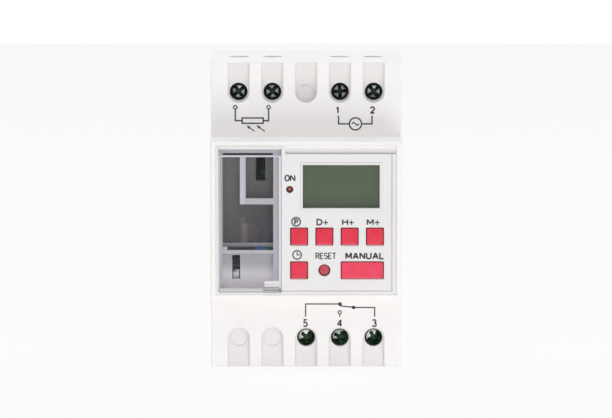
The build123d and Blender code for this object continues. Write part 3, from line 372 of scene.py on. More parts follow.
def make_materials():
    """Every material of the part, by name."""
    steel = (0.62, 0.63, 0.64, 1.0)
    haze = (0.84, 0.85, 0.83, 1.0)
    return {
        "white": plastic("housing_white", tone(247, 245, 244), change=0.012, edge=0.3),
        "panel": plastic("panel_white", tone(233, 231, 231), 0.42, change=0.012, edge=0.2),
        # painted shade: the groove floors are a darker white than the housing, evenly on the lower grooves
        # and deepening towards the lower ends of the upper ones
        "groove": plastic("groove_painted_shade", tone(237, 234, 234), 0.46, change=0.012, edge=0.3),
        "groove_top": graded("groove_upper_painted_shade", tone(208, 205, 205), tone(234, 231, 230), 0.0315, 0.0395),
        # painted shade: the ramp above the panel darkens towards its foot, where the step below it shades it
        "ramp": graded("ramp_painted_shade", tone(224, 221, 221), tone(248, 246, 246), 0.0197, 0.0208),
        # painted shade and light: the tray floor is darker at its top under the ledge and lighter at its foot
        "tray": graded("tray_painted_shade", tone(254, 251, 251), tone(212, 211, 213), -0.0153, -0.0124),
        "clear": clear("door_clear", (0.885, 0.882, 0.906, 1.0), 0.02, index=1.2),
        "frost": clear("grip_frosted", (0.95, 0.94, 0.96, 1.0), 0.3, transmission=0.35),
        # painted shade for the arc round the upper blank
        "outline": plastic("blank_edge_painted_shade", tone(214, 210, 210), 0.46),
        # painted highlight on the door's edges, and painted light along its lower edge
        "bevel": clear("door_edge_highlight", (0.84, 0.83, 0.85, 1.0), 0.5, transmission=0.2),
        "door_low_painted_light": clear("door_lower_painted_light", (0.68, 0.67, 0.69, 1.0), 0.5, transmission=0.2),
        # painted highlight on the rim of the small frame behind the door
        "rim": plastic("rim_painted_highlight", tone(250, 250, 255)),
        # painted shade and light across the hazy window, from its upper left to its lower right
        "haze": clear("window_hazy", haze, 0.07, transmission=0.903, passes=1.15, shade_gradient=True),
        "edge": clear("window_edge_rough", (0.76, 0.76, 0.77, 1.0), 0.4, transmission=0.4),
        "display": display_material(),
        "lamp": lamp_material(),
        "button": button_material("button_crimson", tone(218, 34, 62), tone(228, 44, 72)),
        # painted shade on the tops and sides of the caps, painted light on their feet
        "button_painted_shade": button_material("button_shaded_red", tone(108, 6, 26), tone(122, 12, 34)),
        "button_painted_light": button_material("button_lit_red", tone(248, 150, 168), tone(252, 160, 178)),
        # painted shade: a darker copy of the button red for the reset button, which sits in its hole
        "reset": button_material("reset_button_shaded_red", tone(186, 66, 80), tone(196, 76, 90)),
        "manual": button_material("button_light_crimson", tone(228, 52, 82), tone(236, 62, 92)),
        "ink": print_material(),
        "dark": plastic("dark_plastic", tone(24, 26, 25), roughness=0.5),
        "light": plastic("light_plastic", tone(222, 221, 214), roughness=0.5),
        "mark": plastic("mark_white", tone(240, 238, 234), roughness=0.5),
        "rib": clear("grip_rib", (0.62, 0.6, 0.62, 1.0), 0.4, transmission=0.4),
        "screw": metal("blackened_steel", tone(43, 50, 46), 0.2, change=0.3),
        "screw_green": metal("green_black_steel", tone(46, 66, 50), 0.2, change=0.3),
        # wear and painted highlight on the upper screws' domes, a painted highlight on one side of the lower
        # screws' domes
        "wear_and_highlight": metal("worn_steel_and_highlight", tone(150, 156, 152), 0.26, change=0.55),
        "bright": metal("steel_painted_highlight", tone(228, 230, 229), 0.22, change=0.3),
        "steel": metal("zinc_plated_steel", steel, 0.34, stretch=(1, 1, 0.15)),
        "spring": metal("spring_steel", (0.5, 0.5, 0.51, 1.0), 0.3),
        "brass": metal("brass", (0.72, 0.5, 0.22, 1.0), 0.3, stretch=(1, 0.15, 1)),
        "board": board_material("board_green"),
        "blue": plastic("blue_case", tone(24, 96, 206), roughness=0.35),
        # painted shade: a darker copy of the blue case, for the block in the gap below the window
        "shaded_blue": plastic("blue_case_painted_shade", tone(40, 84, 132), roughness=0.4),
        "brown": plastic("brown_lacquer", tone(240, 168, 130), roughness=0.4),
        "tan": plastic("tan_lacquer", tone(242, 226, 204), roughness=0.4),
        "can": metal("aluminium_can", (0.78, 0.79, 0.8, 1.0), 0.28),
        "rubber": plastic("conductive_rubber", tone(90, 90, 92), roughness=0.7),
        "ribbon": plastic("ribbon_grey", tone(186, 188, 192), roughness=0.5),
        "film": plastic("reflector_film", tone(176, 184, 168), roughness=0.3),
    }


# The material of each carried-over node
NODE_MATERIALS = {
    "rear_base": "white",
    "front_cover": "white",
    "front_panel": "panel",
    "inner_window": "haze",
    "clear_door": "clear",
    "lcd_glass": "display",
    "lcd_frame": "light",
    "lcd_reflector": "film",
    "zebra_strips": "rubber",
    "status_led": "lamp",
    "tact_switches": "dark",
    "control_board": "board",
    "control_board_screws": "steel",
    "microcontroller": "dark",
    "quartz_crystal": "steel",
    "backup_battery": "steel",
    "ribbon_cable": "ribbon",
    "ribbon_headers": "light",
    "power_board": "board",
    "power_board_screws": "steel",
    "relay": "dark",
    "dropper_capacitor": "blue",
    "smoothing_capacitors": "can",
    "varistor": "brown",
    "fuse_resistor": "tan",
    "bridge_rectifier": "dark",
    "contact_bars": "brass",
    "trimmer_body": "dark",
    "trimmer_wheel": "dark",
    "din_latch": "white",
    "latch_spring": "spring",
}


def material_of(name):
    """Which material a node has."""
    if name in NODE_MATERIALS:
        return NODE_MATERIALS[name]
    if name.startswith("terminal_screw"):
        return "screw"
    if name.startswith("terminal_cage"):
        return "steel"
    if name.endswith("_plunger"):
        return "light"
    return "button"


def dress_nodes(nodes, materials):
    """Gives every carried-over node its material."""
    for name, node in nodes.items():
        node.data.materials.clear()
        node.data.materials.append(materials[material_of(name)])


def face_material(node, material, chosen):
    """Gives the faces of a node whose middle is chosen, in millimetres, another material."""
    node.data.materials.append(material)
    last = len(node.data.materials) - 1
    for face in node.data.polygons:
        if chosen(face.center / MM):
            face.material_index = last


def on_door_rim(p):
    """Whether a face is on one of the door's edges, which carry a painted highlight."""
    return min(abs(p.x - DOOR_LEFT), abs(p.x - DOOR_RIGHT), abs(p.z - DOOR_LOW)) < 0.03


def on_wheel_mark(p):
    """Whether a face is on the pale mark that winds round the trimmer's wheel."""
    angle = math.degrees(math.atan2(p.z - WHEEL_Z, WHEEL_Y - p.y))
    return -64 < angle - 16 * (p.x - WHEEL_X) < -13 and math.hypot(p.z - WHEEL_Z, p.y - WHEEL_Y) > 3.6


def on_floor(p):
    """Whether a face is on the floor of a groove or on a blank in it."""
    return abs(p.y - GROOVE_Y) < 0.04 or abs(p.y - BLANK_Y) < 0.04


def dress_details(nodes, materials):
    """Places on carried-over nodes with a material of their own; most of them paint shade, light or
    highlight, and the grip and the wheel's mark are real finishes. Where two overlap, the later one stays.
    """
    for name, material, chosen in (
        ("clear_door", "frost", lambda p: p.x > GRIP_LEFT and p.z < -17.0 and p.y < -59.97),
        # painted highlight on the door's edges
        ("clear_door", "bevel", on_door_rim),
        ("clear_door", "rib", lambda p: p.x > GRIP_LEFT and p.z < -18.6 and p.y < -60.2),
        ("trimmer_wheel", "mark", on_wheel_mark),
        # painted shade on the groove floors, even on the lower ones and graded on the upper ones
        ("front_cover", "groove", lambda p: on_floor(p) and p.z < -25),
        ("front_cover", "groove_top", lambda p: on_floor(p) and p.z > 25),
        # painted shade down the ramp above the panel
        ("front_panel", "ramp", lambda p: 18.7 < p.z < 20.9 and -59.95 < p.y < -59.15 and p.x > -8),
        # painted shade and light on the tray floor, darker at its top and lighter at its foot
        ("front_panel", "tray", lambda p: p.z < -9 and p.x < -8 and -57.5 < p.y < -54.0),
        # painted light: the housing's lighter white on the bottom wall of the door's recess, against the
        # shade there
        ("front_panel", "white", lambda p: p.z < -19.7 and -59.99 < p.y < -59.5),
    ):
        face_material(nodes[name], materials[material], chosen)
    # painted shade: the darker red of the sunken reset button
    nodes["reset_button"].data.materials[0] = materials["reset"]


def to_data(name, mesh):
    """The finished data of a mesh."""
    data = bpy.data.meshes.new(name)
    mesh.to_mesh(data)
    mesh.free()
    return data


def face_out(mesh):
    """Turns every face of a mesh outwards."""
    bmesh.ops.recalc_face_normals(mesh, faces=mesh.faces)


def new_object(name, mesh, material, body):
    """A finished piece in the scene."""
    piece = bpy.data.objects.new(name, mesh)
    bpy.context.scene.collection.objects.link(piece)
    mesh.materials.clear()
    mesh.materials.append(material)
    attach(piece, body)
    return piece


def arc(x, y, wide, tall, start, end, steps=14):
    """Points along part of an ellipse, with the angles in degrees."""
    points = []
    for i in range(steps + 1):
        angle = math.radians(start + (end - start) * i / steps)
        points.append((x + wide * math.cos(angle), y + tall * math.sin(angle)))
    return points


# Each letter as strokes in a unit square, and whether a stroke is closed
GLYPHS = {
    "1": [([(0.0, 0.74), (0.66, 0.97)], False), ([(0.7, 1.0), (0.7, 0.0)], False)],
    "2": [
        (arc(0.5, 0.7, 0.48, 0.3, 165, -38) + [(0.05, 0.03)], False),
        ([(0.0, 0.0), (1.0, 0.0)], False),
    ],
    "3": [
        (arc(0.46, 0.76, 0.42, 0.24, 155, -90), False),
        (arc(0.46, 0.26, 0.5, 0.26, 90, -155), False),
    ],
    "4": [
        ([(0.76, 0.0), (0.76, 1.0)], False),
        ([(0.74, 0.97), (0.0, 0.28)], False),
        ([(0.0, 0.28), (1.0, 0.28)], False),
    ],
    "5": [([(0.92, 1.0), (0.2, 1.0), (0.1, 0.5)] + arc(0.45, 0.31, 0.5, 0.31, 115, -150), False)],
    "O": [(arc(0.5, 0.5, 0.5, 0.5, 0, 345, 23), True)],
    "N": [
        ([(0.0, 0.0), (0.0, 1.0)], False),
        ([(0.02, 0.97), (0.98, 0.03)], False),
        ([(1.0, 0.0), (1.0, 1.0)], False),
    ],
    "D": [([(0.0, 0.0), (0.0, 1.0)] + arc(0.4, 0.5, 0.6, 0.5, 90, -90), True)],
    "H": [
        ([(0.0, 0.0), (0.0, 1.0)], False),
        ([(0.0, 0.5), (1.0, 0.5)], False),
        ([(1.0, 0.0), (1.0, 1.0)], False),
    ],
    "M": [
        ([(0.0, 0.0), (0.0, 1.0)], False),
        ([(0.02, 0.97), (0.5, 0.22)], False),
        ([(0.5, 0.22), (0.98, 0.97)], False),
        ([(1.0, 1.0), (1.0, 0.0)], False),
    ],
    "+": [([(0.0, 0.42), (1.0, 0.42)], False), ([(0.5, -0.02), (0.5, 0.86)], False)],
    "R": [
        ([(0.0, 0.0), (0.0, 1.0)] + arc(0.5, 0.75, 0.45, 0.25, 90, -90) + [(0.0, 0.5)], False),
        ([(0.5, 0.5), (1.0, 0.0)], False),
    ],
    "E": [
        ([(1.0, 1.0), (0.0, 1.0), (0.0, 0.0), (1.0, 0.0)], False),
        ([(0.0, 0.52), (0.85, 0.52)], False),
    ],
    "S": [(arc(0.5, 0.76, 0.46, 0.24, 25, 270) + arc(0.5, 0.26, 0.5, 0.26, 90, -155)[1:], False)],
    "T": [([(0.0, 1.0), (1.0, 1.0)], False), ([(0.5, 1.0), (0.5, 0.0)], False)],
    "A": [
        ([(0.0, 0.0), (0.48, 1.0)], False),
        ([(0.52, 1.0), (1.0, 0.0)], False),
        ([(0.2, 0.32), (0.8, 0.32)], False),
    ],
    "U": [([(0.0, 1.0)] + arc(0.5, 0.36, 0.5, 0.36, 180, 360) + [(1.0, 1.0)], False)],
    "L": [([(0.0, 1.0), (0.0, 0.0), (1.0, 0.0)], False)],
}
WIDTHS = {"1": 0.5, "+": 1.0, "E": 0.85, "L": 0.8, "M": 1.15, "A": 1.1, "O": 1.0}


class Ink:
    """Thin printed shapes on a plane that faces the front, in millimetres."""

    def __init__(self, y):
        self.mesh = bmesh.new()
        self.back = y * MM
        self.front = (y - PRINT_RISE) * MM

    def corner(self, point, y):
        """One corner of a print, at a depth."""
        return self.mesh.verts.new((point[0] * MM, y, point[1] * MM))

    def strip(self, left, right, closed=False):
        """A strip between two rows of points, with its thickness."""
        rows = [
            [self.corner(p, self.front) for p in left],
            [self.corner(p, self.front) for p in right],
            [self.corner(p, self.back) for p in right],
            [self.corner(p, self.back) for p in left],
        ]
        count = len(left)
        for i in range(count if closed else count - 1):
            j = (i + 1) % count
            for a in range(4):
                b = (a + 1) % 4
                self.mesh.faces.new((rows[a][i], rows[b][i], rows[b][j], rows[a][j]))
        if not closed:
            for i in (0, count - 1):
                self.mesh.faces.new([row[i] for row in rows])

    def path(self, points, width=LINE, closed=False):
        """A line of one width along points, mitred at its corners."""
        points = [Vector(p) for p in points]
        count = len(points)
        left, right = [], []
        for i, point in enumerate(points):
            before = points[i - 1] if (i or closed) else None
            after = points[(i + 1) % count] if (i < count - 1 or closed) else None
            sides = []
            if before is not None:
                sides.append((point - before).normalized())
            if after is not None:
                sides.append((after - point).normalized())
            normal = sum((Vector((-s.y, s.x)) for s in sides), Vector((0, 0))).normalized()
            reach = width / 2 / max(MITRE, normal.dot(Vector((-sides[0].y, sides[0].x))))
            left.append(point + normal * reach)
            right.append(point - normal * reach)
        self.strip(left, right, closed)

    def ring(self, centre, radius, width=LINE, start=0.0, end=360.0, steps=48):
        """A circle or an arc."""
        whole = end - start >= 360
        points = arc(*centre, radius, radius, start, end, steps)
        self.path(points[:-1] if whole else points, width, closed=whole)

    def shape(self, points):
        """A filled shape."""
        front = [self.corner(p, self.front) for p in points]
        back = [self.corner(p, self.back) for p in points]
        self.mesh.faces.new(front)
        self.mesh.faces.new(back)
        for i in range(len(points)):
            j = (i + 1) % len(points)
            self.mesh.faces.new((front[i], front[j], back[j], back[i]))

    def dot(self, centre, radius):
        """A filled disc."""
        self.shape(arc(*centre, radius, radius, 0, 360, 32)[:-1])

    def arrow(self, start, tip):
        """A line that ends in a filled head."""
        head, width = 1.15, 0.85
        start, tip = Vector(start), Vector(tip)
        along = (tip - start).normalized()
        across = Vector((-along.y, along.x))
        base = tip - along * head
        self.path([start, base + along * 0.1], 0.3)
        self.shape([tip, base + across * width / 2, base - across * width / 2])

    def text(self, words, left, right, bottom, top, width, gap=0.32):
        """Words in plain strokes, fitted to a box. A plus sign is drawn thinner."""
        shares = [WIDTHS.get(letter, 1.0) for letter in words]
        spaces = gap * (len(words) - 1)
        unit = (right - left - width) / (sum(shares) + spaces)
        tall = top - bottom - width
        x = left + width / 2
        for letter, share in zip(words, shares):
            for stroke, closed in GLYPHS[letter]:
                points = []
                for across, up in stroke:
                    points.append((x + across * share * unit, bottom + width / 2 + up * tall))
                self.path(points, width * (0.72 if letter == "+" else 1), closed)
            x += (share + gap) * unit

    def finish(self, name, material):
        """Ends the prints as one piece."""
        face_out(self.mesh)
        new_object(name, to_data(name, self.mesh), material, "housing")


def digit(ink, words, x, bottom, top, size, width):
    """One printed number centred on x."""
    ink.text(words, x - size / 2, x + size / 2, bottom, top, width)


def sensor_symbol(ink):
    """The sign for a light-dependent resistor between two terminals."""
    for x in (-20.03, -10.61):
        ink.ring((x, 30.67), 0.5, 0.33, steps=24)
    ink.path([(-20.03, 30.15), (-20.03, 26.85), (-18.05, 26.85)])
    ink.path([(-12.15, 26.85), (-10.61, 26.85), (-10.61, 30.15)])
    ink.path([(-18.1, 27.62), (-12.15, 27.62), (-12.15, 26.12), (-18.1, 26.12)], closed=True)
    ink.arrow((-14.57, 23.86), (-16.93, 25.48))
    ink.arrow((-11.69, 23.86), (-14.11, 25.55))


def supply_symbol(ink):
    """The sign for an alternating supply between terminals 1 and 2."""
    digit(ink, "1", 8.9, 28.8, 30.95, 1.0, 0.46)
    digit(ink, "2", 18.75, 28.8, 30.95, 1.55, 0.46)
    ink.path([(9.16, 28.3), (9.16, 25.95), (12.15, 25.95)])
    ink.path([(15.75, 25.95), (18.63, 25.95), (18.63, 28.3)])
    ink.ring((13.95, 25.95), 1.72, 0.4)
    wave = []
    for i in range(25):
        share = i / 24
        wave.append((12.95 + 2.0 * share, 25.95 + 0.34 * math.sin(2 * math.pi * share)))
    ink.path(wave, 0.36)


def relay_symbol(ink):
    """The sign for a changeover contact between terminals 5, 4 and 3."""
    digit(ink, "5", -0.2, -31.9, -29.6, 1.5, 0.42)
    digit(ink, "4", 9.5, -31.9, -29.6, 1.6, 0.42)
    digit(ink, "3", 19.35, -31.9, -29.6, 1.5, 0.42)
    ink.path([(-0.14, -28.9), (-0.14, -25.3), (9.55, -25.3)], 0.34)
    ink.dot((9.6, -25.35), 0.55)
    ink.path([(9.65, -25.85), (13.46, -26.25)], 0.34)
    ink.dot((13.46, -26.28), 0.5)
    ink.path([(13.46, -26.3), (19.43, -26.3), (19.43, -28.9)], 0.34)
    ink.ring((9.53, -27.68), 0.45, 0.3, steps=24)
    ink.path([(9.53, -28.1), (9.53, -28.95)], 0.34)


def program_sign(ink):
    """A letter P in a circle."""
    x, z = -2.82, -0.39
    ink.ring((x, z), 1.2, 0.38)
    bowl = arc(x + 0.1, z + 0.28, 0.36, 0.34, 90, -90, 10)
    ink.path([(x - 0.35, z - 0.75), (x - 0.35, z + 0.62)] + bowl, 0.4)
    ink.path([(x + 0.1, z - 0.06), (x - 0.3, z - 0.06)], 0.38)


def clock_sign(ink):
    """A clock face with two hands."""
    x, z = -2.54, -9.75
    ink.ring((x, z), 1.2, 0.34)
    ink.path([(x, z + 0.95), (x, z), (x + 0.85, z)], 0.28)


def make_prints(materials):
    """The generic marks on the shoulders and the panel, and a faint grey arc round the upper blank that
    paints the shade at its edge.
    """
    ink = Ink(SHOULDER_Y)
    sensor_symbol(ink)
    supply_symbol(ink)
    relay_symbol(ink)
    ink.finish("terminal_marks", materials["ink"])
    # painted shade: a grey arc along the edge of the upper blank
    ink = Ink(GROOVE_Y)
    ink.ring((0.0, 34.6), 2.2, 0.26, -30.0, 125.0)
    ink.finish("blank_edge_shade_arc", materials["outline"])
    ink = Ink(PANEL_Y)
    ink.text("ON", -6.1, -3.0, 10.95, 12.9, 0.4)
    program_sign(ink)
    clock_sign(ink)
    ink.text("D+", 2.88, 6.36, -1.45, 0.45, 0.42)
    ink.text("H+", 10.05, 13.62, -1.45, 0.45, 0.42)
    ink.text("M+", 16.98, 20.86, -1.45, 0.45, 0.4)
    ink.text("RESET", 2.6, 8.45, -10.98, -9.1, 0.31, 0.36)
    ink.text("MANUAL", 11.0, 21.95, -11.05, -8.98, 0.46, 0.46)
    ink.finish("panel_labels", materials["ink"])


def grid_mesh(name, rows):
    """A smooth mesh from closed rows of points, each row joined to the next, with its ends filled."""
    mesh = bmesh.new()
    made = [[mesh.verts.new(p) for p in row] for row in rows]
    for a, b in zip(made, made[1:]):
        count = len(a)
        for i in range(count):
            j = (i + 1) % count
            mesh.faces.new((a[i], a[j], b[j], b[i]))
    for row in (made[0], made[-1]):
        mesh.faces.new(row)
    face_out(mesh)
    data = to_data(name, mesh)
    for face in data.polygons:
        face.use_smooth = True
    return data


def make_spring(materials):
    """The coil spring over its peg, with closed ends."""
    low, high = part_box("latch_spring")
    centre = (low + high) / 2
    wire = COIL_WIRE * MM
    radius = (high.x - low.x) / 2 - wire
    per_turn, around = 40, 12
    steps = COIL_TURNS * per_turn
    height = high.z - low.z - 2 * wire
    rows = []
    for i in range(steps + 1):
        angle = 2 * math.pi * i / per_turn
        out = Vector((math.cos(angle), math.sin(angle), 0))
        middle = Vector((centre.x, centre.y, low.z + wire + height * i / steps))
        middle += out * radius
        row = []
        for k in range(around):
            turn = 2 * math.pi * k / around
            row.append(middle + out * wire * math.cos(turn) + Vector((0, 0, wire * math.sin(turn))))
        rows.append(row)
    mesh = grid_mesh("latch_coil", rows)
    coil = new_object("latch_coil", mesh, materials["spring"], "housing")
    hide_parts("latch_spring")
    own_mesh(coil)


def cross_depth(x, z):
    """How deep the screw's cross recess is at a place, in metres."""
    along = max(abs(x), abs(z)) / MM
    across = min(abs(x), abs(z)) / MM
    side = min(1.0, max(0.0, (CROSS_HALF - across) / (CROSS_HALF * 0.35)))
    end = min(1.0, max(0.0, (CROSS_REACH - along) / (CROSS_REACH * 0.3)))
    return side * end * CROSS_DEPTH * MM


def screw_circle(centre, radius, y):
    """One ring of points around a screw's axis."""
    row = []
    for k in range(SCREW_AROUND):
        angle = 2 * math.pi * k / SCREW_AROUND
        row.append((centre.x + radius * math.cos(angle), y, centre.z + radius * math.sin(angle)))
    return row


def screw_head(centre, front, radius, turn):
    """The domed face of a screw with its cross recess turned by an angle."""
    rows = []
    rim = SCREW_RIM * MM
    chamfer = SCREW_CHAMFER * MM
    for i in range(DOME_ROWS + 1):
        share = 0.05 + 0.95 * i / DOME_ROWS
        row = []
        for x, y, z in screw_circle(centre, (radius - rim) * share, front):
            across, up = x - centre.x, z - centre.z
            along = across * math.cos(turn) + up * math.sin(turn)
            aside = up * math.cos(turn) - across * math.sin(turn)
            row.append((x, y + SCREW_CROWN * MM * share ** 2 + cross_depth(along, aside), z))
        rows.append(row)
    edge = front + SCREW_CROWN * MM
    for i in range(1, 5):
        angle = math.pi / 2 * i / 4
        reach = radius - rim * (1 - math.sin(angle))
        rows.append(screw_circle(centre, reach, edge + rim * (1 - math.cos(angle))))
    rows.append(screw_circle(centre, radius, front + SCREW_HEAD * MM - chamfer))
    rows.append(screw_circle(centre, radius - chamfer, front + SCREW_HEAD * MM))
    return rows


def screw_thread(centre, start, end):
    """The threaded shank of a screw."""
    rows = []
    pitch = SCREW_PITCH * MM
    shank = SCREW_SHANK * MM
    steps = int((end - start) / (pitch / 6))
    for i in range(steps + 1):
        y = start + (end - start) * i / steps
        fade = max(0.0, min(1.0, (y - start) / pitch, (end - y) / pitch))
        row = []
        for k, (x, _, z) in enumerate(screw_circle(centre, 1.0, y)):
            phase = ((y - start) / pitch - k / SCREW_AROUND) % 1.0
            radius = shank - THREAD_DEPTH * MM * abs(2 * phase - 1) * fade
            row.append((centre.x + (x - centre.x) * radius, y, centre.z + (z - centre.z) * radius))
        rows.append(row)
    return rows


def screw_mesh(name, low, high, turn):
    """A machine screw with a cross recess and a threaded shank."""
    centre = (low + high) / 2
    radius = (high.x - low.x) / 2
    rows = screw_head(centre, low.y, radius, turn)
    neck = low.y + SCREW_HEAD * MM
    rows.append(screw_circle(centre, SCREW_SHANK * MM, neck))
    rows += screw_thread(centre, neck + 0.3 * MM, high.y - 0.3 * MM)
    rows.append(screw_circle(centre, SCREW_SHANK * MM - 0.35 * MM, high.y))
    return grid_mesh(name, rows), centre, radius


def wear_and_highlight_face(front, centre, radius, reach, one_sided):
    """A test for the faces of a screw's dome that carry bright metal: wear with a painted highlight all round
    on the upper screws, a painted highlight on one side only on the lower ones.
    """

    def chosen(point):
        across, up = point.x * MM - centre.x, point.z * MM - centre.z
        out = math.hypot(across, up)
        dome = front + SCREW_CROWN * MM * (out / radius) ** 2
        side = math.degrees(math.atan2(up, across)) % 360
        on_dome = out < reach * radius and point.y * MM - dome < DOME_NEAR * MM
        return on_dome and (not one_sided or HIGHLIGHT_SIDE[0] < side < HIGHLIGHT_SIDE[1])

    return chosen


def make_screws(materials):
    """Detailed terminal screws, each turned a little differently."""
    turns = {"sensor_left": 38, "sensor_right": 52, "1": 4, "2": 40, "3": 28, "4": 60, "5": 47}
    for place, turn in turns.items():
        old = "terminal_screw_" + place
        name = "clamp_screw_" + place
        mesh, centre, radius = screw_mesh(name, *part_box(old), math.radians(turn))
        upper = centre.z > 0
        finish = materials["screw" if upper else "screw_green"]
        screw = new_object(name, mesh, finish, "screw_" + place)
        # wear and a painted highlight on the upper screws, a one-sided painted highlight on the lower ones
        reach = WEAR_AND_HIGHLIGHT_REACH if upper else HIGHLIGHT_REACH
        chosen = wear_and_highlight_face(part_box(old)[0].y, centre, radius, reach, not upper)
        face_material(screw, materials["wear_and_highlight" if upper else "bright"], chosen)
        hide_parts(old)


def rounded(half_x, half_z, corner):
    """Points around a rectangle with round corners."""
    steps = 12
    points = []
    for quarter, (side_x, side_z) in enumerate(((1, 1), (-1, 1), (-1, -1), (1, -1))):
        for i in range(steps + 1):
            angle = math.pi / 2 * (quarter + i / steps)
            x = side_x * (half_x - corner) + corner * math.cos(angle)
            z = side_z * (half_z - corner) + corner * math.sin(angle)
            points.append((x, z))
    return points


def button_mesh(name, middle, half, round_cap, front, back):
    """A push button: crowned cap with soft edges, flange and stem."""
    x, z = middle
    half_x, half_z = half
    corner = half_x - 0.01 if round_cap else CAP_CORNER
    rows = []

    def row(shrink, y):
        """One outline of the cap, drawn in by an amount."""
        less = max(0.05, corner - shrink)
        outline = rounded(half_x - shrink, half_z - shrink, min(less, half_x - shrink, half_z - shrink))
        rows.append([((x + a) * MM, y * MM, (z + b) * MM) for a, b in outline])

    deepest = min(half_x, half_z)
    for share in (0.95, 0.8, 0.6, 0.4):
        row(CAP_SOFT + (deepest - CAP_SOFT) * share, front + 1.2 * CAP_CROWN * (1 - share) ** 2)
    for i in range(7):
        angle = math.pi / 2 * i / 6
        row(CAP_SOFT * (1 - math.sin(angle)), front + CAP_CROWN + CAP_SOFT * (1 - math.cos(angle)))
    row(0.0, FLANGE_Y)
    row(-FLANGE_REACH, FLANGE_Y)
    row(-FLANGE_REACH, FLANGE_Y + FLANGE_THICK)
    stem = rounded(STEM_HALF, STEM_HALF, STEM_HALF - 0.01)
    for y in (FLANGE_Y + FLANGE_THICK, back):
        rows.append([((x + a) * MM, y * MM, (z + b) * MM) for a, b in stem])
    return grid_mesh(name, rows)


def make_buttons(materials):
    """Push buttons with rounded edges over their CAD solids. Their tops and sides are darker, painted shade,
    and their feet paler, painted light.
    """
    for name in ("program", "day", "hour", "minute", "clock", "reset", "manual"):
        low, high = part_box(name + "_button")
        middle = ((low.x + high.x) / 2 / MM, (low.z + high.z) / 2 / MM)
        half = ((high.x - low.x) / 2 / MM - CAP_INSET, (high.z - low.z) / 2 / MM - CAP_INSET)
        is_reset = name == "reset"
        # the reset button takes the darker red, painted shade
        material = materials[name if name in ("reset", "manual") else "button"]
        mesh = button_mesh(name + "_cap", middle, half, is_reset, low.y / MM, high.y / MM)
        cap = new_object(name + "_cap", mesh, material, "button_" + name)
        if not is_reset:
            # painted shade on each cap's top and sides, painted light along its foot
            side = low.y / MM + 0.24
            foot = middle[1] - half[1] + 0.2
            face_material(cap, materials["button_painted_shade"], lambda p: p.y > side and p.z > foot)
            face_material(cap, materials["button_painted_light"], lambda p: p.y > side - 0.1 and p.z < foot - 0.08)
        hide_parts(name + "_button")


def plate(mesh, x, y, z):
    """One flat block added to a mesh, in millimetres."""
    corners = [mesh.verts.new((a * MM, b * MM, c * MM)) for a in x for b in y for c in z]
    for face in ((0, 1, 3, 2), (4, 6, 7, 5), (0, 4, 5, 1), (2, 3, 7, 6), (0, 2, 6, 4), (1, 5, 7, 3)):
        mesh.faces.new([corners[i] for i in face])


def plates(name, blocks, material, body, bevel):
    """A piece made of flat blocks with softened edges."""
    mesh = bmesh.new()
    for x, y, z in blocks:
        plate(mesh, x, y, z)
    face_out(mesh)
    bmesh.ops.bevel(mesh, geom=mesh.edges[:], offset=bevel * MM, segments=2, affect="EDGES", profile=0.5)
    new_object(name, to_data(name, mesh), material, body)


def frame_with_hole(name, outer, hole, y, material):
    """A plate with a rectangular opening, in millimetres."""
    mesh = bmesh.new()
    rings = []
    for depth in y:
        for x, z in (outer, hole):
            corners = ((x[0], z[0]), (x[1], z[0]), (x[1], z[1]), (x[0], z[1]))
            rings.append([mesh.verts.new((a * MM, depth * MM, b * MM)) for a, b in corners])
    for a, b in ((0, 1), (1, 3), (3, 2), (2, 0)):
        for i in range(4):
            j = (i + 1) % 4
            mesh.faces.new((rings[a][i], rings[a][j], rings[b][j], rings[b][i]))
    face_out(mesh)
    return new_object(name, to_data(name, mesh), material, "housing")


def front_outline(node):
    """The sides of a CAD node's box in x and z, and its front and back, in millimetres."""
    low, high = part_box(node)
    return ((low.x / MM, high.x / MM), (low.z / MM, high.z / MM)), (low.y / MM, high.y / MM)


def make_seam(materials):
    """The thin lip of the cover in the gap round the panel."""
    inner, _ = front_outline("front_panel")
    outer = [(span[0] - 0.1, span[1] + 0.1) for span in inner]
    frame_with_hole("panel_seam", outer, inner, (-59.95, -58.4), materials["white"])


def make_bay(materials):
    """The bay behind the door: the hazy window, its edge, and dark plates that paint the shadow in the gaps
    below it and at the hinge, with a darker blue block in the lower gap, painted shade on the blue case.
    """
    outer, thick = front_outline("inner_window")
    (left, right), (bottom, _) = outer
    hole = ((-14.15, -11.5), (10.95, 17.6))
    window = frame_with_hole("hazy_window", outer, hole, thick, materials["haze"])
    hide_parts("inner_window")
    edge = ((left + 0.3, right - 0.3), (thick[0] - 0.12, thick[0] - 0.01), (bottom - 0.28, bottom + 0.9))
    plates("window_edge", [edge], materials["edge"], "housing", 0.04)
    below = (bottom - 0.98, bottom - 0.12)
    shadow_y, behind = (-58.5, -58.3), -56.7
    # dark plates in the gap below the window, painted shadow
    film = [((-22.1, -14.3), shadow_y, below), ((-10.95, -9.25), shadow_y, below)]
    plates("gap_painted_shadow", film, materials["dark"], "housing", 0.02)
    ledge = ((-23.45, -22.15), (-58.6, behind), below)
    plates("ledge_corner", [ledge], materials["panel"], "housing", 0.05)
    # a darker blue block in that gap, painted shade on the blue case
    case = ((-14.2, -11.05), (-58.2, behind), below)
    plates("film_capacitor", [case], materials["shaded_blue"], "housing", 0.05)
    # a dark strip at the hinge, painted shadow
    gap = ((-23.4, -9.3), (-58.72, -58.63), (18.3, 18.88))
    plates("hinge_painted_shadow", [gap], materials["dark"], "housing", 0.02)


